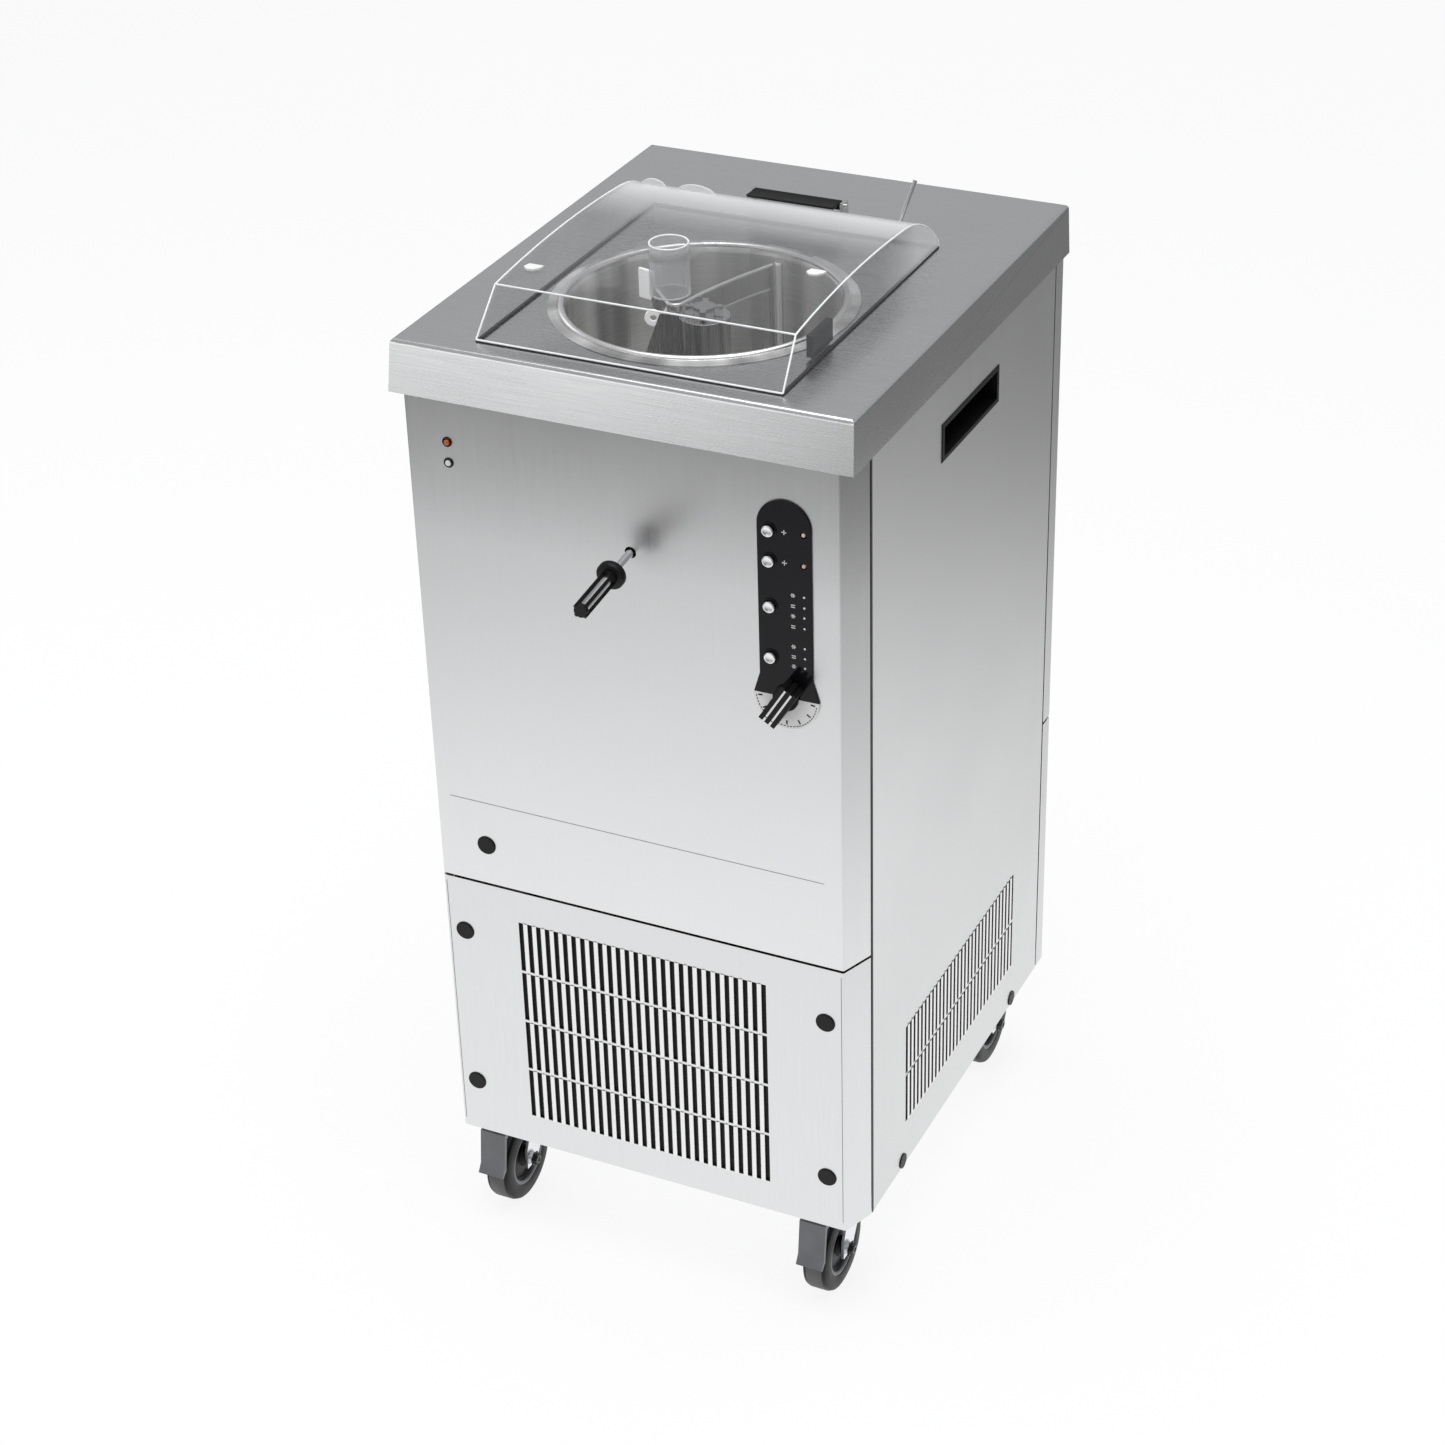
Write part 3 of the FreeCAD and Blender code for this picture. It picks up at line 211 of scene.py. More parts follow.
def spun(name, colour):
    """Steel spun on a lathe: fine rings round its axis, and broad light and dark stripes down its wall
    painted as reflections of the room.
    """
    paint = Paint(name, colour, Metallic=0.62, Anisotropic=0.55)
    shift = paint.node("ShaderNodeMapping", {"Location": (0, -BOWL_Y, 0)})
    paint.link(paint.place, shift.inputs["Vector"])
    flat = paint.node("ShaderNodeVectorMath", {1: (1, 1, 0)}, operation="MULTIPLY")
    paint.link(shift.outputs["Vector"], flat.inputs[0])
    round_way = paint.node("ShaderNodeVectorMath", operation="NORMALIZE")
    paint.link(flat.outputs["Vector"], round_way.inputs[0])
    # Painted reflection: broad stripes by direction round the bowl's axis, lighter and darker, as the room
    # would be reflected in the wall.
    painted_reflection_bands = paint.noise((1, 1, 1), size=2.6, detail=2.0, place=round_way.outputs["Vector"])
    rings = paint.noise((3, 3, 1500), detail=3.0)
    both = paint.math("ADD", paint.math("MULTIPLY", painted_reflection_bands, PAINTED_REFLECTION_SHARE),
                      paint.math("MULTIPLY", rings, 1 - PAINTED_REFLECTION_SHARE))
    paint.tint(paint.spread(both, 0, 1, 0.38, 0.62), 0.5, 1.5)
    paint.rough(painted_reflection_bands, 0.2, 0.36)
    tangent = paint.node("ShaderNodeTangent", direction_type="RADIAL", axis="Z")
    paint.link(tangent.outputs["Tangent"], paint.shader.inputs["Tangent"])
    paint.bump(rings, 0.08, 0.0001)
    return paint.material


VERTICAL = (1400, 1400, 14)
ACROSS = (14, 1400, 1400)
EVEN = (1200, 1200, 1200)
LOOSE = (30, 30, 30)
STEEL = (0.64, 0.645, 0.65)
MATERIALS = {
    "satin_steel": brushed("satin_steel", STEEL, 0.34, VERTICAL),
    "polished_steel": brushed("polished_steel", (0.62, 0.62, 0.62), 0.16, VERTICAL),
    "zinc_plate": brushed("zinc_plate", (0.66, 0.67, 0.69), 0.30, (300, 300, 300), swing=0.1),
    "black_plastic": moulded("black_plastic", (0.006, 0.006, 0.006), 0.42, Specular_IOR_Level=0.2),
    "gloss_black": moulded("gloss_black", (0.005, 0.005, 0.007), 0.14, swing=0.05, bump=0.03,
                           Specular_IOR_Level=0.22),
    "white_plastic": moulded("white_plastic", (0.83, 0.83, 0.82), 0.35, swing=0.02),
    "lamp_lens": moulded("lamp_lens", (0.8, 0.8, 0.78), 0.15, swing=0.04, bump=0.05),
    "silver_button": brushed("silver_button", (0.72, 0.72, 0.73), 0.22, EVEN),
    "chrome_rod": brushed("chrome_rod", (0.82, 0.82, 0.83), 0.09, (1200, 14, 1200), bump=0.04),
    "clear_plastic": clear("clear_plastic", (0.9, 0.92, 0.93), 0.06, 0.5),
    "dark_rubber": moulded("dark_rubber", (0.03, 0.03, 0.03), 0.6),
    "magnet_black": moulded("magnet_black", (0.02, 0.02, 0.022), 0.2),
    "circuit_board": moulded("circuit_board", (0.03, 0.18, 0.08), 0.4, grain=500, swing=0.3),
    "copper_tube": brushed("copper_tube", (0.72, 0.36, 0.2), 0.3, (200, 200, 200), swing=0.2),
    "foam": moulded("foam", (0.8, 0.7, 0.42), 0.9, grain=900, bump=0.8),
    "motor_paint": moulded("motor_paint", (0.015, 0.015, 0.017), 0.35, grain=900),
    "cast_alloy": brushed("cast_alloy", (0.42, 0.43, 0.44), 0.5, (900, 900, 900), swing=0.15, bump=0.4),
    "gear_steel": brushed("gear_steel", (0.5, 0.5, 0.5), 0.3, (600, 600, 600)),
    "grey_plastic": moulded("grey_plastic", (0.125, 0.132, 0.14), 0.45),
    "castor_tyre": moulded("castor_tyre", (0.006, 0.006, 0.007), 0.45, swing=0.25, Specular_IOR_Level=0.2),
}
MATERIALS["worktop"] = brushed("worktop_steel", STEEL, 0.24, ACROSS, swing=0.04, bump=0.08)
# Steels with painted light and shade by height: the front darker towards the worktop, the sides and rear
# paler towards the top.
MATERIALS["front_steel_painted_light"] = brushed("front_steel_painted_light", STEEL, 0.34, VERTICAL, painted_light_fade=(1.0, 0.86, 0.66, 1.1))
MATERIALS["flank_steel_painted_light"] = brushed("flank_steel_painted_light", STEEL, 0.34, VERTICAL, painted_light_fade=(0.35, 0.98, 0.86, 1.24))
MATERIALS["louvre_steel"] = brushed("louvre_steel", (0.7, 0.7, 0.7), 0.22, VERTICAL, bump=0.05)
# Dark steel for the line across the front, and for the painted shade along the folds.
MATERIALS["dark_line_and_fold_shade"] = brushed("dark_line_and_fold_shade", (0.2, 0.2, 0.2), 0.4, ACROSS)
MATERIALS["filter_mesh"] = moulded("filter_mesh", (0.006, 0.006, 0.006), 0.8, grain=700, swing=0.5,
                                   bump=0.9)
MATERIALS["print_white"] = moulded("print_white", (0.8, 0.8, 0.8), 0.5, swing=0.06)
MATERIALS["amber_lens"] = moulded("amber_lens", (0.62, 0.11, 0.008), 0.12, swing=0.15, bump=0.05)
MATERIALS["warm_lamp"] = moulded("warm_lamp", (0.72, 0.5, 0.4), 0.2, swing=0.1, bump=0.05)
# Near-white strips on clear edges: a painted highlight for the light that polished edges gather.
MATERIALS["painted_edge_highlight"] = moulded("painted_edge_highlight", (0.93, 0.94, 0.95), 0.18, swing=0.03, bump=0.04)
MATERIALS["spun_steel"] = spun("spun_steel", (0.6, 0.6, 0.59))
MATERIALS["paddle_steel"] = brushed("paddle_steel", (0.62, 0.62, 0.62), 0.24, VERTICAL, swing=0.06,
                                    bump=0.03)
MATERIALS["grey_tread"] = moulded("grey_tread", (0.07, 0.07, 0.072), 0.7, grain=500, swing=0.45, bump=0.4)
MATERIALS["axle_black"] = moulded("axle_black", (0.01, 0.01, 0.01), 0.3, bump=0.05)
# White plastic that glows a little though it is no lamp: a painted glow that lifts the paddle's plate and
# tab out of the bowl's shade.
MATERIALS["white_painted_glow"] = moulded("white_painted_glow", (0.95, 0.95, 0.95), 0.3, swing=0.03,
                                    Emission_Color=(1, 1, 1, 1), Emission_Strength=0.3)
# Near-white steel for the ring over the bowl's bead: a painted highlight along the rim.
MATERIALS["painted_bead_highlight"] = brushed("painted_bead_highlight", (0.95, 0.95, 0.95), 0.3, LOOSE, bump=0.02)
MATERIALS["clear_lid"] = clear("clear_lid", (0.93, 0.94, 0.95), 0.03, 0.5,
                               haze_from=(CENTRE_Y - 0.045, CENTRE_Y + 0.07))
MATERIALS["clear_tube"] = clear("clear_tube", (0.9, 0.91, 0.92), 0.28, 0.65)
# Steel paler than the paddle's: a painted highlight along the arm's rolled edges.
MATERIALS["painted_highlight_trim"] = brushed("painted_highlight_trim", (0.92, 0.92, 0.92), 0.3, LOOSE, bump=0.02)
MATERIALS["milky_edge"] = clear("milky_edge", (0.95, 0.95, 0.95), 0.45, 0.8)


def coat(obj, material):
    """Gives an object one material in place of what it came with."""
    obj.data.materials.clear()
    obj.data.materials.append(MATERIALS[material] if isinstance(material, str) else material)


# The front, side and rear sheets take the steels with painted light and shade by height.
SHEETS = {"front_upper_panel": "front_steel_painted_light", "right_side_panel": "flank_steel_painted_light",
          "left_side_panel": "flank_steel_painted_light", "rear_upper_panel": "flank_steel_painted_light",
          "rear_lower_panel": "flank_steel_painted_light"}
for node_name, node_object in NODES.items():
    coat(node_object, SHEETS.get(node_name, SLOT_OF[node_name]))


# Building helpers
def piece(name, mesh, body, slot, material=None, stands_for=()):
    """Turns a finished mesh into a piece that rides on a body and takes a slot's finish."""
    obj = bpy.data.objects.new(name, mesh)
    bpy.context.scene.collection.objects.link(obj)
    coat(obj, material or slot)
    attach(obj, body)
    if stands_for:
        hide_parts(*stands_for)
    return obj


def apply_modifiers(obj):
    with bpy.context.temp_override(object=obj, active_object=obj, selected_objects=[obj]):
        for modifier in list(obj.modifiers):
            bpy.ops.object.modifier_apply(modifier=modifier.name)


def smooth(mesh, degrees=35):
    """Smooth faces, with edges kept sharp where they turn by more than the angle."""
    mesh.shade_smooth()
    mesh.set_sharp_from_angle(angle=math.radians(degrees))


def bevelled(obj, width, segments=2):
    modifier = obj.modifiers.new("edges", "BEVEL")
    modifier.width = width
    modifier.segments = segments
    modifier.limit_method = "ANGLE"
    modifier.angle_limit = math.radians(28)
    modifier.miter_outer = "MITER_ARC"
    modifier.harden_normals = True
    obj.data.shade_smooth()
    apply_modifiers(obj)
    return obj


def refined(node, width, segments=2, material=None):
    """A copy of a CAD node's shape with rounded edges, shown in its place."""
    bm = bmesh.new()
    bm.from_mesh(NODES[node].data)
    bmesh.ops.remove_doubles(bm, verts=bm.verts, dist=1e-6)
    bmesh.ops.dissolve_limit(bm, angle_limit=math.radians(0.6), verts=bm.verts, edges=bm.edges)
    mesh = bpy.data.meshes.new(node + "_shown")
    bm.to_mesh(mesh)
    bm.free()
    for name in ("custom_normal", "sharp_face"):
        if name in mesh.attributes:
            mesh.attributes.remove(mesh.attributes[name])
    obj = piece(node + "_shown", mesh, BODY_OF[node], SLOT_OF[node], material, (node,))
    return bevelled(obj, width, segments)


def axis_frame(axis):
    """Two directions square to an axis."""
    axis = Vector(axis).normalized()
    side = axis.orthogonal().normalized()
    return axis, side, axis.cross(side)


def lathe_mesh(name, profile, centre, axis, steps=64):
    """Spins (radius, height) points about an axis. A radius of 0 closes the end."""
    axis, side, other = axis_frame(axis)
    bm = bmesh.new()
    rings = []
    for radius, height in profile:
        middle = centre + axis * height
        if radius == 0:
            rings.append([bm.verts.new(middle)])
            continue
        ring = []
        for step in range(steps):
            angle = 2 * math.pi * step / steps
            ring.append(bm.verts.new(middle + (side * math.cos(angle) + other * math.sin(angle)) * radius))
        rings.append(ring)
    for low, high in zip(rings, rings[1:]):
        for step in range(steps):
            following = (step + 1) % steps
            corners = [low[step % len(low)], low[following % len(low)],
                       high[following % len(high)], high[step % len(high)]]
            unique = list(dict.fromkeys(corners))
            if len(unique) > 2:
                bm.faces.new(unique)
    bmesh.ops.recalc_face_normals(bm, faces=bm.faces)
    mesh = bpy.data.meshes.new(name)
    bm.to_mesh(mesh)
    bm.free()
    smooth(mesh)
    return mesh


def prisms_mesh(name, outlines, depth):
    """Prisms in one mesh: each flat outline of points is pushed out by the depth vector."""
    bm = bmesh.new()
    for outline in outlines:
        near = [bm.verts.new(point) for point in outline]
        far = [bm.verts.new(Vector(point) + Vector(depth)) for point in outline]
        bm.faces.new(near)
        bm.faces.new(far)
        for i in range(len(near)):
            j = (i + 1) % len(near)
            bm.faces.new((near[i], near[j], far[j], far[i]))
    bmesh.ops.recalc_face_normals(bm, faces=bm.faces)
    mesh = bpy.data.meshes.new(name)
    bm.to_mesh(mesh)
    bm.free()
    return mesh


def arc(start, through, end, steps):
    """Points along the circle that passes through three points."""
    first, second = through - start, end - start
    normal = first.cross(second)
    middle = (second.length_squared * normal.cross(first) + first.length_squared * second.cross(normal)) \
        / (2 * normal.length_squared)
    centre = start + middle
    sweep = (start - centre).angle(through - centre) + (through - centre).angle(end - centre)
    return [centre + Matrix.Rotation(sweep * step / steps, 3, normal) @ (start - centre)
            for step in range(steps + 1)]


def swept(name, path, radius, body, slot, material=None):
    """A round bar along a path of points, smoothed."""
    curve = bpy.data.curves.new(name, "CURVE")
    curve.dimensions = "3D"
    curve.bevel_depth = radius
    curve.bevel_resolution = 3
    curve.use_fill_caps = True
    spline = curve.splines.new("POLY")
    spline.points.add(len(path) - 1)
    for point, place in zip(spline.points, path):
        point.co = (*place, 1)
    obj = bpy.data.objects.new(name, curve)
    mesh = bpy.data.meshes.new_from_object(obj)
    bpy.data.objects.remove(obj)
    smooth(mesh, 50)
    piece(name, mesh, body, slot, material)


# Cabinet
HEM_OUT = 0.6
HEM_FRONT = -284.6
HEM_BACK = 272.0
HEM_Z = 1005.6
LINE_LEFT = -212.0
LINE_RIGHT = 207.0
LINE_Z = 554.3
LINE_H = 0.6
FOLD_X = 224.6
FOLD_Z = 291.0
FOLD_H = 312.0
# Where the painted gap shadow runs, from the side panel's front edge.
GAP_SHADOW_NEAR = -1.4
GAP_SHADOW_FAR = 2.6
SLOT_PITCH = 10.3
BAR_HALF = 2.45
BAR_RISE = 1.0
FILTER_MARGIN = 8.0
FILTER_DEPTH = 3.2


def cabinet():
    """The worktop with its hem, the line across the front, dark lines painted as shade along the two lower
    folds, and two dark strips painted as shadow in the gaps at the front corners.
    """
    refined("worktop", 0.0008, 2, "worktop")
    refined("hand_holds", 0.0008, 2)
    side = HALF_W + HEM_OUT
    hem = [at(x, y, HEM_Z) for x, y in
           ((-side, HEM_BACK), (-side, HEM_FRONT), (side, HEM_FRONT), (side, HEM_BACK))]
    swept("worktop_hem", hem, 0.0007, "cabinet", "satin_steel")
    line = [at(x, BODY_FRONT - 0.15, z) for x, z in
            ((LINE_LEFT, LINE_Z), (LINE_RIGHT, LINE_Z), (LINE_RIGHT, LINE_Z + LINE_H),
             (LINE_LEFT, LINE_Z + LINE_H))]
    mesh = prisms_mesh("engraved_line", [line], (0, 0.0001, 0))
    piece("engraved_line", mesh, "cabinet", "satin_steel", "dark_line_and_fold_shade")
    # Painted shade: thin dark lines along the rounded folds of the lower front.
    folds = [bar_outline(sign * FOLD_X, FOLD_Z, 0.7, FOLD_H, y=BODY_FRONT - 0.1) for sign in (-1, 1)]
    mesh = prisms_mesh("fold_shade_lines", folds, (0, 0.00008, 0))
    piece("fold_shade_lines", mesh, "cabinet", "satin_steel", "dark_line_and_fold_shade")
    # Painted shadow: dark rubber strips at the side panels' front edges stand for the shade in the gaps
    # behind the front corners.
    low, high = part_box("right_side_panel")
    for name, sign in (("left_gap_shadow", -1), ("right_gap_shadow", 1)):
        x = sign * (HALF_W + 0.05)
        outline = [(x * MM, low.y + near * MM, z) for near, z in
                   ((GAP_SHADOW_NEAR, low.z), (GAP_SHADOW_FAR, low.z), (GAP_SHADOW_FAR, high.z), (GAP_SHADOW_NEAR, high.z))]
        mesh = prisms_mesh(name, [outline], (sign * 0.0002, 0, 0))
        piece(name, mesh, "cabinet", "dark_rubber")


ROW_GAP = 3.0


def row_bounds(bottom, top, count):
    height = (top - bottom - (count - 1) * ROW_GAP) / count
    return [(bottom + i * (height + ROW_GAP), height) for i in range(count)]


def louvres(name, point_of, first, count, rows, outward):
    """Rounded bars between the slots, with a dark filter behind.

    point_of turns a place along the panel, a rise above it and a Z to a point.
    """
    for number, (low, height) in enumerate(rows):
        outlines = []
        for bar in range(count - 1):
            middle = first + (bar + 0.5) * SLOT_PITCH
            outline = []
            for step in range(7):
                across = (step / 3 - 1) * BAR_HALF
                rise = BAR_RISE * (1 - (across / 2.6) ** 2) + 0.05
                outline.append(point_of(middle + across, rise, low))
            outlines.append(outline)
        mesh = prisms_mesh(name, outlines, (0, 0, height * MM))
        smooth(mesh, 60)
        piece("%s_%d" % (name, number), mesh, "cabinet", "satin_steel", "louvre_steel")
    low, high = rows[0][0] - 6, rows[-1][0] + rows[-1][1] + 6
    start, end = first - FILTER_MARGIN, first + (count - 1) * SLOT_PITCH + FILTER_MARGIN
    backing = [point_of(along, -FILTER_DEPTH, z) for along, z in
               ((start, low), (end, low), (end, high), (start, high))]
    mesh = prisms_mesh(name + "_filter", [backing], Vector(outward) * -0.0015)
    piece(name + "_filter", mesh, "cabinet", "black_plastic", "filter_mesh")


def grilles():
    front_rows, side_rows = row_bounds(163, 415, 4), row_bounds(180, 304, 2)
    louvres("front_louvres", lambda along, rise, z: at(along, BODY_FRONT - rise, z), -139.05, 28,
            front_rows, (0, -1, 0))
    louvres("right_louvres", lambda along, rise, z: at(HALF_W + rise, along, z), -150, 31,
            side_rows, (1, 0, 0))
    louvres("left_louvres", lambda along, rise, z: at(-HALF_W - rise, along, z), -150, 31,
            side_rows, (-1, 0, 0))


# Controls
STRIP_X = 171.2
STRIP_FACE = BODY_FRONT - 2.0
BUTTON_X = 156.0
PLUS_X = 171.5
LEGEND_X = 179.5
DOT_X = 191.0
LAMP_X = -183.0
BUTTON_ROWS = (934.8, 903.2, 855.0, 800.5)
LEGEND_ROWS = (870.6, 859.3, 848.7, 837.3, 815.9, 805.0, 794.7)
STRIP_LAMP_ROWS = (935.4, 903.1)
PRINT = (0, -0.0001, 0)
DIAL_Z = 759.0
TICK_R = 27.5
DASH_R = 31.5
KNOB_ANGLE = -32.0
KNOB_FACE = STRIP_FACE - 17.02
INLAY_OFFSET = 3.5
FORWARD = Vector((0, -1, 0))


def bar_outline(x, z, width, height, degrees=0.0, y=STRIP_FACE):
    """A rectangle on the front, turned about its own middle."""
    turn = math.radians(degrees)
    corners = ((-1, -1), (1, -1), (1, 1), (-1, 1))
    points = []
    for side, rise in corners:
        a, b = side * width / 2, rise * height / 2
        points.append(at(x + a * math.cos(turn) - b * math.sin(turn), y,
                         z + a * math.sin(turn) + b * math.cos(turn)))
    return points


def disc_outline(x, z, radius, steps=16):
    angles = [2 * math.pi * step / steps for step in range(steps)]
    return [at(x + radius * math.cos(angle), STRIP_FACE, z + radius * math.sin(angle)) for angle in angles]


def dial_mark(radius, degrees, width, height):
    """A short bar on the dial, turned to point away from its middle."""
    angle = math.radians(degrees)
    return bar_outline(STRIP_X + radius * math.cos(angle), DIAL_Z + radius * math.sin(angle),
                       width, height, degrees)


def legends():
    """Plain marks beside the buttons: stars, bars, dots and crosses, with no lettering."""
    outlines = []
    for number, z in enumerate(LEGEND_ROWS):
        if number % 2:
            outlines += [bar_outline(LEGEND_X, z + lift, 4.2, 0.9) for lift in (-1.1, 1.1)]
        else:
            outlines += [bar_outline(LEGEND_X, z, 4.6, 0.8, angle) for angle in (0, 60, 120)]
        outlines.append(disc_outline(DOT_X, z, 1.1))
    for z in BUTTON_ROWS[:2]:
        outlines += [bar_outline(PLUS_X, z, 5.0, 0.8), bar_outline(PLUS_X, z, 0.8, 5.0)]
    mesh = prisms_mesh("strip_legends", outlines, PRINT)
    piece("strip_legends", mesh, "cabinet", "white_plastic", "print_white")


def dial():
    """A white half dial with printed ticks and a dashed line round its edge."""
    refined("dial_plate", 0.0003)
    ticks = [dial_mark(TICK_R, degrees, 4.5, 1.6) for degrees in range(186, 355, 28)]
    dashes = [dial_mark(DASH_R, degrees, 0.9, 2.0) for degrees in range(188, 353, 6)]
    mesh = prisms_mesh("dial_ticks", ticks + dashes, PRINT)
    piece("dial_ticks", mesh, "cabinet", "black_plastic", "gloss_black")


def knob():
    """Two bright inlays between the knob's three ribs."""
    refined("timer_knob", 0.0006)
    turn = math.radians(KNOB_ANGLE)
    outlines = []
    for offset in (-INLAY_OFFSET, INLAY_OFFSET):
        x = STRIP_X + offset * math.cos(turn)
        z = DIAL_Z + offset * math.sin(turn)
        outlines.append(bar_outline(x, z, 2.0, 38, KNOB_ANGLE, KNOB_FACE))
    mesh = prisms_mesh("knob_inlays", outlines, (0, -0.0012, 0))
    piece("knob_inlays", mesh, "timer_knob", "silver_button", "polished_steel")


def buttons():
    """Silver caps with a shallow dish, and a dark ring on the strip round each."""
    cap = [(0, 0.0041), (0.0036, 0.0041), (0.0044, 0.0044), (0.0052, 0.0044), (0.0058, 0.0040),
           (0.0060, 0.0034), (0.0060, 0.0019), (0.0027, 0.0018), (0.0027, -0.009), (0, -0.009)]
    collar = [(0.0064, 0.0001), (0.0064, 0.0008), (0.0068, 0.0012), (0.0076, 0.0012), (0.0080, 0.0008),
              (0.0080, 0.0001), (0.0064, 0.0001)]
    for number, z in enumerate(BUTTON_ROWS, 1):
        name = "push_button_%d" % number
        centre = at(BUTTON_X, STRIP_FACE, z)
        piece(name + "_cap", lathe_mesh(name, cap, centre, FORWARD, 48), name, "silver_button",
              "silver_button", (name,))
        mesh = lathe_mesh("collar", collar, centre, FORWARD, 48)
        piece("button_collar_%d" % number, mesh, "cabinet", "gloss_black")


def lamps():
    """Two bezelled lamps on the panel's left and two small ones in the strip."""
    bezel = [(0.0034, 0.0), (0.0034, 0.0012), (0.0038, 0.0016), (0.0048, 0.0014), (0.0052, 0.0006),
             (0.0052, 0.0), (0.0040, -0.0002), (0.0040, -0.012), (0.0034, -0.012), (0.0034, 0.0)]
    lens = [(0, 0.0034), (0.0012, 0.0033), (0.0022, 0.0029), (0.0029, 0.0021), (0.0032, 0.0010),
            (0.0032, -0.010), (0, -0.010)]
    small = [(0, 0.0009), (0.0012, 0.0008), (0.0017, 0.0004), (0.0020, -0.0002), (0.0020, -0.008),
             (0, -0.008)]
    for number, (z, paint) in enumerate(((961, "amber_lens"), (939, "lamp_lens"))):
        centre = at(LAMP_X, BODY_FRONT, z)
        stands_for = ("indicator_lamps",) if number == 0 else ()
        piece("lamp_bezel_%d" % number, lathe_mesh("lamp_bezel", bezel, centre, FORWARD, 40), "cabinet",
              "gloss_black", "gloss_black", stands_for)
        mesh = lathe_mesh("lamp_lens", lens, centre, FORWARD, 40)
        piece("lamp_lens_%d" % number, mesh, "cabinet", "lamp_lens", paint)
    for number, z in enumerate(STRIP_LAMP_ROWS):
        mesh = lathe_mesh("strip_lamp", small, at(DOT_X, STRIP_FACE, z), FORWARD, 32)
        piece("strip_lamp_%d" % number, mesh, "cabinet", "lamp_lens", "warm_lamp")


# Bowl, paddle and drain
BEAD_R = 138.6
BEAD_Z = 1060.0
DRAIN_X = 10.0
DRAIN_Z = 880.5
DRAIN_DROP = math.radians(6)
ARM_FOOT_EDGE = 1027.4
ARM_TOP_EDGE = 1051.4
TAB_PLACE = (-58, -84, 1030)
TAB_AXIS = (0.35, -0.94, 0)


def turn_round(radius, x, y, z, steps):
    """Points once round an upright axis at (x, y), in millimetres."""
    angles = [2 * math.pi * step / steps for step in range(steps + 1)]
    return [at(x + radius * math.cos(angle), y + radius * math.sin(angle), z) for angle in angles]


def in_metres(profile):
    return [(radius * MM, height * MM) for radius, height in profile]


def bowl():
    """A spun cup with a rolled bead at its mouth, a pale ring over the bead painted as its highlight, and
    the column that the shaft runs in.
    """
    profile = [(9.5, 858), (9.5, 1005), (13.5, 1005), (13.5, 878), (118, 878), (124, 879), (129, 881.5),
               (132.5, 885.5), (133.8, 890), (134, 896), (134, 1052), (134.4, 1056), (135.8, 1059),
               (138, 1060.6), (140.6, 1060.9), (143, 1060.2), (145, 1059.7), (150.5, 1059.5), (152, 1059.0),
               (152, 1058.1), (136.2, 1058.1), (136, 892), (131, 880), (120, 876), (13.6, 876), (13.5, 858),
               (9.5, 858)]
    mesh = lathe_mesh("bowl_shown", in_metres(profile), at(0, BOWL_PLACE, 0), (0, 0, 1), 128)
    piece("bowl_shown", mesh, "cabinet", "polished_steel", "spun_steel", ("bowl",))
    # A pale ring over the rolled bead: a painted highlight along the rim.
    path = turn_round(BEAD_R, 0, BOWL_PLACE, BEAD_Z, 96)
    swept("bowl_bead", path, 0.0034, "cabinet", "polished_steel", "painted_bead_highlight")


def drain():
    """The pull: a bright rod, a black collar and a handle with ribs round a bright core."""
    centre = at(DRAIN_X, BODY_FRONT, DRAIN_Z)
    axis = Vector((0, -math.cos(DRAIN_DROP), -math.sin(DRAIN_DROP)))
    shaft = [(0, -60), (5.9, -60), (5.9, -52), (4, -52), (4, 36.2), (0, 36.2)]
    collar = [(0, 36), (11.5, 36), (13.6, 36.5), (14.5, 38), (14.5, 43), (13.6, 44.5), (11.5, 45), (0, 45)]
    core = [(0, 45.1), (5.5, 45.1), (5.5, 100), (0, 100)]
    for name, profile, paint, stands_for in (("drain_shaft", shaft, "chrome_rod", ("drain_rod",)),
                                             ("drain_collar", collar, "black_plastic", ()),
                                             ("drain_core", core, "chrome_rod", ())):
        mesh = lathe_mesh(name, in_metres(profile), centre, axis, 48)
        piece(name, mesh, "drain", "chrome_rod", paint, stands_for)
    refined("drain_grip", 0.0005)


def paddle():
    """The turning frame, with a thicker tip to its arm, a white plate and a white tab with a painted glow,
    and trims with a painted highlight.
    """
    refined("paddle", 0.0004, 2, "paddle_steel")
    refined("scrapers", 0.0006)
    refined("paddle_nut", 0.0008)
    tip = ((-71, -55), (-73.5, -53), (-86, -34), (-83.5, -32.5))
    plate = ((-82, -35), (-81.5, -31.5), (-100, -27), (-100.5, -30.5))
    for name, points, low, high, slot, paint in (
            ("arm_tip", tip, 1027, 1052, "polished_steel", "paddle_steel"),
            ("arm_plate", plate, 1024, 1055, "white_plastic", "white_painted_glow")):
        mesh = prisms_mesh(name, [[at(x, y, low) for x, y in points]], (0, 0, (high - low) * MM))
        bevelled(piece(name, mesh, "paddle", slot, paint), 0.0004)
    arm_trim()
    profile = [(3.4, -1.5), (8.0, -1.5), (8.6, -0.9), (8.6, 0.9), (8.0, 1.5), (3.4, 1.5), (3.4, -1.5)]
    mesh = lathe_mesh("hub_tab", in_metres(profile), at(*TAB_PLACE), TAB_AXIS, 40)
    piece("hub_tab", mesh, "paddle", "white_plastic", "white_painted_glow")


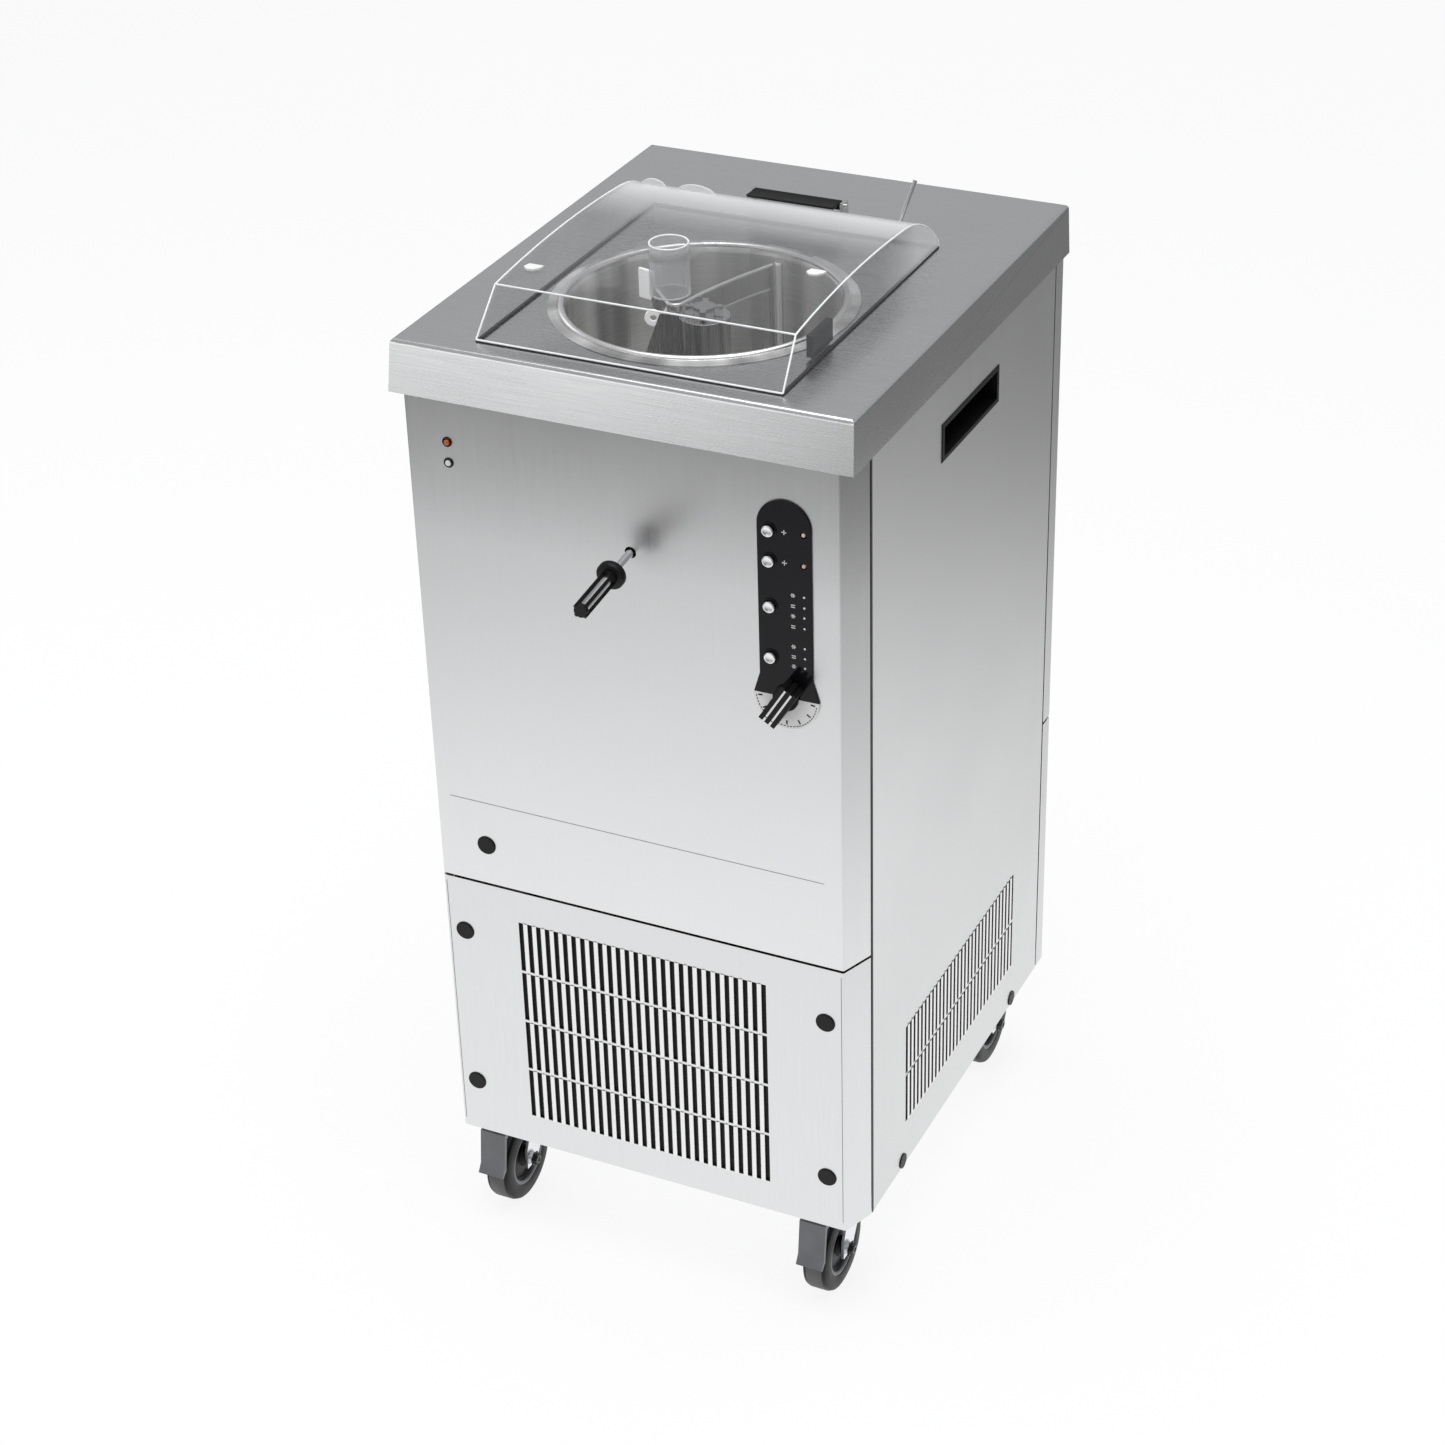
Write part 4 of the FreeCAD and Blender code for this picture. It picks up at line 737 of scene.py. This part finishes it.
def arm_trim():
    """Rolled edges along the top and foot of the S-shaped arm, in steel paler than the arm's: a painted
    highlight.
    """
    rise = [at(-72, -54, 0), at(-53, -75, 0), at(-38, -91, 0)]
    bend = [rise[2], at(-29, -93, 0), at(-24, -85, 0)]
    sweep = [bend[2], at(-7, -25, 0), at(17, 33, 0)]
    path = arc(*rise, 6) + arc(*bend, 6)[1:] + arc(*sweep, 12)[1:]
    for name, height in (("arm_top_edge", ARM_TOP_EDGE), ("arm_foot_edge", ARM_FOOT_EDGE)):
        lifted = [point + Vector((0, 0, height * MM)) for point in path]
        swept(name, lifted, 0.0019, "paddle", "polished_steel", "painted_highlight_trim")


# Lid
LID_BASE = 1060.0
LID_TOP = 1111.5
LID_FRONT = -255.0
LID_BACK = 122.0
LID_FOOT_Z = 1058.0
LID_FOOT_HALF_W = 160.0
LID_LEAN = 4 / 53.5
LID_WALL = 0.003
LID_EDGE_R = 0.0010
CHUTE_HOLE_R = 0.0203


def lid_half_width(z):
    return LID_FOOT_HALF_W - (z - LID_FOOT_Z) * LID_LEAN


def lid_side(inset=0.0):
    """The hood's outline from its front foot over the top to its rear foot, as (y, z) points."""
    brow = Vector((0, -218 + inset, 1103 - inset))
    crown = Vector((0, -75, LID_TOP - inset))
    shoulder = Vector((0, 45, 1107 - inset))
    slope = Vector((0, 92 - inset * 0.6, 1092 - inset * 0.8))
    heel = Vector((0, LID_BACK - inset, 1066))
    front = Vector((0, LID_FRONT + inset, LID_BASE))
    points = [front, brow] + arc(brow, crown, shoulder, 14)[1:] + arc(shoulder, slope, heel, 8)[1:]
    return [(point.y, point.z) for point in points] + [(LID_BACK - inset, LID_BASE)]


def lid_shell():
    """The hood: one bent sheet with two upright sides, open below, with a hole for the chute."""
    bm = bmesh.new()
    side = lid_side()
    rows = []
    for y, z in side:
        half = lid_half_width(z)
        rows.append([bm.verts.new(at(half * (step / 8 - 1), y, z)) for step in range(17)])
    for near, far in zip(rows, rows[1:]):
        for step in range(16):
            bm.faces.new((near[step], near[step + 1], far[step + 1], far[step]))
    for end in (0, -1):
        bm.faces.new([row[end] for row in rows])
    bmesh.ops.recalc_face_normals(bm, faces=bm.faces)
    mesh = bpy.data.meshes.new("lid_shown")
    bm.to_mesh(mesh)
    bm.free()
    hood = piece("lid_shown", mesh, "lid", "clear_plastic", "clear_lid", ("lid",))
    rod = [(0, 1.08), (CHUTE_HOLE_R, 1.08), (CHUTE_HOLE_R, 1.13), (0, 1.13)]
    cutter_mesh = lathe_mesh("cutter", rod, at(CHUTE_X, CHUTE_PLACE, 0), (0, 0, 1), 64)
    cutter = bpy.data.objects.new("cutter", cutter_mesh)
    bpy.context.scene.collection.objects.link(cutter)
    wall = hood.modifiers.new("wall", "SOLIDIFY")
    wall.thickness = LID_WALL
    wall.offset = -1
    wall.use_even_offset = True
    apply_modifiers(hood)
    hole = hood.modifiers.new("hole", "BOOLEAN")
    hole.object = cutter
    hole.operation = "DIFFERENCE"
    hole.solver = "EXACT"
    apply_modifiers(hood)
    bpy.data.objects.remove(cutter)
    smooth(hood.data, 28)


def lid_edges():
    """White strips along the hood's polished edges, where clear edges gather light and look white: a
    painted highlight.
    """
    side = lid_side(0.6)
    for number, sign in enumerate((-1, 1)):
        path = [at(sign * (lid_half_width(z) - 0.6), y, z) for y, z in side]
        swept("lid_side_edge_%d" % number, path, LID_EDGE_R, "lid", "clear_plastic", "painted_edge_highlight")
    for name, index in (("lid_brow_edge", 1), ("lid_foot_edge", 0)):
        y, z = side[index]
        half = lid_half_width(z) - 0.6
        swept(name, [at(-half, y, z), at(half, y, z)], LID_EDGE_R, "lid", "clear_plastic", "painted_edge_highlight")


def lid_lobes():
    """Two rounded tabs on the hood's rear left, with a notch between them."""
    for number, (middle, half) in enumerate(((-128, 15), (-80, 22))):
        outline = []
        for step in range(13):
            angle = math.pi * step / 12
            outline.append(at(middle - half * math.cos(angle), 62, 1101 + 10 * math.sin(angle)))
        mesh = prisms_mesh("lid_lobe", [outline], (0, 0.003, 0))
        bevelled(piece("lid_lobe_%d" % number, mesh, "lid", "clear_plastic", "milky_edge"), 0.0008)


def chute():
    """A clear tube with a flange that rests on the hood, and white rims painted as highlights on its
    polished edges.
    """
    tube = [(18, 1067), (20, 1067), (20, 1119.4), (19.4, 1120), (18.6, 1120), (18, 1119.4), (18, 1067)]
    flange = [(20.1, 1111.8), (34, 1111.8), (34.5, 1112.3), (34.5, 1113.3), (34, 1113.8), (20.1, 1113.8),
              (20.1, 1111.8)]
    for name, profile, paint, stands_for in (("chute_tube", tube, "clear_tube", ("feed_chute",)),
                                             ("chute_flange", flange, "clear_lid", ())):
        mesh = lathe_mesh(name, in_metres(profile), at(CHUTE_X, CHUTE_PLACE, 0), (0, 0, 1), 72)
        piece(name, mesh, "feed_chute", "clear_plastic", paint, stands_for)
    # White rims: a painted highlight on the tube's polished edges.
    for name, z, thickness in (("chute_rim", 1119.0, 0.0010), ("chute_foot_rim", 1067.8, 0.0007)):
        path = turn_round(19, CHUTE_X, CHUTE_PLACE, z, 64)
        swept(name, path, thickness, "feed_chute", "clear_plastic", "painted_edge_highlight")


def lid_fittings():
    """The bracket, bar and magnet block, and two white clips under the hood."""
    for node, width in (("hinge_bracket", 0.0004), ("hinge_bar", 0.0005), ("lid_magnet", 0.0005)):
        refined(node, width)
    corners = ((-9, -3), (-4, -8), (3, -7), (8, -1), (9, 5), (-7, 5))
    for number, (x, y, z) in enumerate(((-134, -181, 1107.4), (123, -97, 1109.4))):
        outline = [at(x + across, y + along, z) for across, along in corners]
        mesh = prisms_mesh("lid_clip", [outline], (0, 0, 0.003))
        bevelled(piece("lid_clip_%d" % number, mesh, "lid", "white_plastic"), 0.0008)


# Castors
def castors():
    """Rubber tyres with a lighter grey tread, grey rims, dark dished hubs, and forks with black axle ends.
    """
    tyre = [(33, -13.4), (36, -14), (45, -14), (48.4, -12.6), (49.8, -9.4), (49.8, 9.4), (48.4, 12.6),
            (45, 14), (36, 14), (33, 13.4), (33, -13.4)]
    tread = [(49, -9.2), (49.8, -9.2), (50, -8.8), (50, 8.8), (49.8, 9.2), (49, 9.2), (49, -9.2)]
    rim = [(28.5, -11.6), (30, -12.8), (32.9, -12.8), (32.9, 12.8), (30, 12.8), (28.5, 11.6),
           (28.5, -11.6)]
    hub = [(4.1, -14), (9, -14), (10.5, -12), (12, -9), (26, -7), (28.4, -9), (28.4, 9), (26, 7), (12, 9),
           (10.5, 12), (9, 14), (4.1, 14), (4.1, -14)]
    axle_end = [(0, -1), (8.5, -1), (8.5, 0.8), (6.8, 1.0), (6.6, 4.0), (5.6, 4.8), (3.0, 4.8), (2.6, 4.0),
                (0, 4.0)]
    parts = (("tyre", "castor_tyre", tyre), ("tread", "grey_tread", tread), ("rim", "grey_plastic", rim),
             ("hub", "black_plastic", hub))
    for place in ("front_left", "front_right", "rear_left", "rear_right"):
        node = "castor_wheel_" + place
        low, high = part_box(node)
        middle = (low + high) / 2
        for name, paint, profile in parts:
            mesh = lathe_mesh(name, in_metres(profile), middle, (1, 0, 0), 96)
            stands_for = (node,) if name == "tyre" else ()
            piece("%s_%s" % (name, place), mesh, node, "castor_tyre", paint, stands_for)
        fork = "castor_fork_" + place
        refined(fork, 0.0006)
        fork_low, fork_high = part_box(fork)
        for number, (x, sign) in enumerate(((fork_low.x, -1), (fork_high.x, 1))):
            end = Vector((x, middle.y, middle.z))
            mesh = lathe_mesh("axle_end", in_metres(axle_end), end, (sign, 0, 0), 6)
            piece("axle_end_%s_%d" % (place, number), mesh, fork, "black_plastic", "axle_black")
    for place in ("front_left", "front_right"):
        refined("brake_pedal_" + place, 0.0012, 3)


cabinet()
grilles()
refined("control_strip", 0.0004)
legends()
dial()
knob()
buttons()
lamps()
bowl()
drain()
paddle()
lid_shell()
lid_edges()
lid_lobes()
chute()
lid_fittings()
castors()


# Light, floor and camera
FLOOR_HALF = 60.0
FLOOR_SEEN = 0.86
FLOOR_LIT = 0.16
FLOOR_CENTRE = (-0.17, -0.2, 0)
FLOOR_NEAR = 0.8
FLOOR_FAR = 2.75
FLOOR_BRIGHT = 1.22
FLOOR_DIM = 0.22
STUDIO_LIGHT = (0.97, 0.98, 1.0, 1)
STUDIO_POWER = 0.5
STUDIO_SEEN = (0.93, 0.93, 0.93, 1)


def area_light(name, place, target, width, height, power):
    data = bpy.data.lights.new(name, "AREA")
    data.shape = "RECTANGLE"
    data.size = width
    data.size_y = height
    data.energy = power
    obj = bpy.data.objects.new(name, data)
    bpy.context.scene.collection.objects.link(obj)
    obj.location = place
    obj.rotation_euler = (Vector(target) - Vector(place)).to_track_quat("-Z", "Y").to_euler()


def floor():
    """A pale floor that looks white to the camera; to reflections and bounced light it is a painted glow,
    bright near the machine and fading with distance.
    """
    half = FLOOR_HALF
    outline = [(-half, -half, 0), (half, -half, 0), (half, half, 0), (-half, half, 0)]
    mesh = bpy.data.meshes.new("floor")
    mesh.from_pydata(outline, [], [(0, 1, 2, 3)])
    obj = bpy.data.objects.new("floor", mesh)
    bpy.context.scene.collection.objects.link(obj)
    material = bpy.data.materials.new("floor")
    material.use_nodes = True
    tree = material.node_tree
    tree.nodes.clear()
    output = tree.nodes.new("ShaderNodeOutputMaterial")
    path = tree.nodes.new("ShaderNodeLightPath")
    seen = tree.nodes.new("ShaderNodeEmission")
    seen.inputs["Strength"].default_value = FLOOR_SEEN
    lit = tree.nodes.new("ShaderNodeBsdfDiffuse")
    lit.inputs["Color"].default_value = (FLOOR_LIT, FLOOR_LIT, FLOOR_LIT, 1)
    both = tree.nodes.new("ShaderNodeAddShader")
    tree.links.new(seen.outputs[0], both.inputs[0])
    tree.links.new(lit.outputs[0], both.inputs[1])
    place = tree.nodes.new("ShaderNodeTexCoord")
    shifted = tree.nodes.new("ShaderNodeVectorMath")
    shifted.operation = "SUBTRACT"
    shifted.inputs[1].default_value = FLOOR_CENTRE
    tree.links.new(place.outputs["Object"], shifted.inputs[0])
    length = tree.nodes.new("ShaderNodeVectorMath")
    length.operation = "LENGTH"
    tree.links.new(shifted.outputs["Vector"], length.inputs[0])
    # Painted light: the floor's glow for reflections and bounced light falls off with distance from the
    # machine.
    painted_light_fade = tree.nodes.new("ShaderNodeMapRange")
    painted_light_fade.interpolation_type = "SMOOTHSTEP"
    for socket, value in (("From Min", FLOOR_NEAR), ("From Max", FLOOR_FAR), ("To Min", FLOOR_BRIGHT),
                          ("To Max", FLOOR_DIM)):
        painted_light_fade.inputs[socket].default_value = value
    tree.links.new(length.outputs["Value"], painted_light_fade.inputs["Value"])
    painted_glow = tree.nodes.new("ShaderNodeEmission")
    tree.links.new(painted_light_fade.outputs["Result"], painted_glow.inputs["Strength"])
    choice = tree.nodes.new("ShaderNodeMixShader")
    tree.links.new(path.outputs["Is Camera Ray"], choice.inputs["Fac"])
    tree.links.new(painted_glow.outputs[0], choice.inputs[1])
    tree.links.new(both.outputs[0], choice.inputs[2])
    tree.links.new(choice.outputs[0], output.inputs["Surface"])
    mesh.materials.append(material)


def studio():
    """Soft even light all round, which looks as pale as the floor where the camera sees past it."""
    world = bpy.data.worlds.new("studio")
    world.use_nodes = True
    tree = world.node_tree
    lighting = tree.nodes["Background"]
    lighting.inputs["Color"].default_value = STUDIO_LIGHT
    lighting.inputs["Strength"].default_value = STUDIO_POWER
    seen = tree.nodes.new("ShaderNodeBackground")
    seen.inputs["Color"].default_value = STUDIO_SEEN
    path = tree.nodes.new("ShaderNodeLightPath")
    choice = tree.nodes.new("ShaderNodeMixShader")
    tree.links.new(path.outputs["Is Camera Ray"], choice.inputs["Fac"])
    tree.links.new(lighting.outputs[0], choice.inputs[1])
    tree.links.new(seen.outputs[0], choice.inputs[2])
    tree.links.new(choice.outputs[0], tree.nodes["World Output"].inputs["Surface"])
    bpy.context.scene.world = world


floor()
studio()
bpy.context.scene.view_settings.view_transform = "Standard"

area_light("overhead", (0.2, -0.3, 3.6), (0, 0, 0.5), 2.4, 2.4, 60)
area_light("front_card", (-1.6, -3.2, 0.9), (0, 0, 1.0), 1.4, 1.5, 8)
area_light("left_card", (-3.0, 0.6, 1.9), (0, 0, 1.0), 1.6, 1.6, 7)

AZIMUTH = math.radians(26.224)
ELEVATION = math.radians(30.838)
ROLL = math.radians(-1.7105)
DISTANCE = 3.3865
TARGET = Vector((-0.0202, CENTRE_Y - 0.0342, 0.5492))
back = Vector((math.sin(AZIMUTH) * math.cos(ELEVATION), -math.cos(AZIMUTH) * math.cos(ELEVATION),
               math.sin(ELEVATION)))
right = Vector((math.cos(AZIMUTH), math.sin(AZIMUTH), 0))
up = back.cross(right)
tilted_right = right * math.cos(ROLL) + up * math.sin(ROLL)
tilted_up = up * math.cos(ROLL) - right * math.sin(ROLL)
camera_data = bpy.data.cameras.new("camera")
camera_data.sensor_width = 36
camera_data.lens = 79.247
camera = bpy.data.objects.new("camera", camera_data)
bpy.context.scene.collection.objects.link(camera)
camera.matrix_world = Matrix((
    (tilted_right.x, tilted_up.x, back.x, TARGET.x + back.x * DISTANCE),
    (tilted_right.y, tilted_up.y, back.y, TARGET.y + back.y * DISTANCE),
    (tilted_right.z, tilted_up.z, back.z, TARGET.z + back.z * DISTANCE),
    (0, 0, 0, 1)))
bpy.context.scene.camera = camera
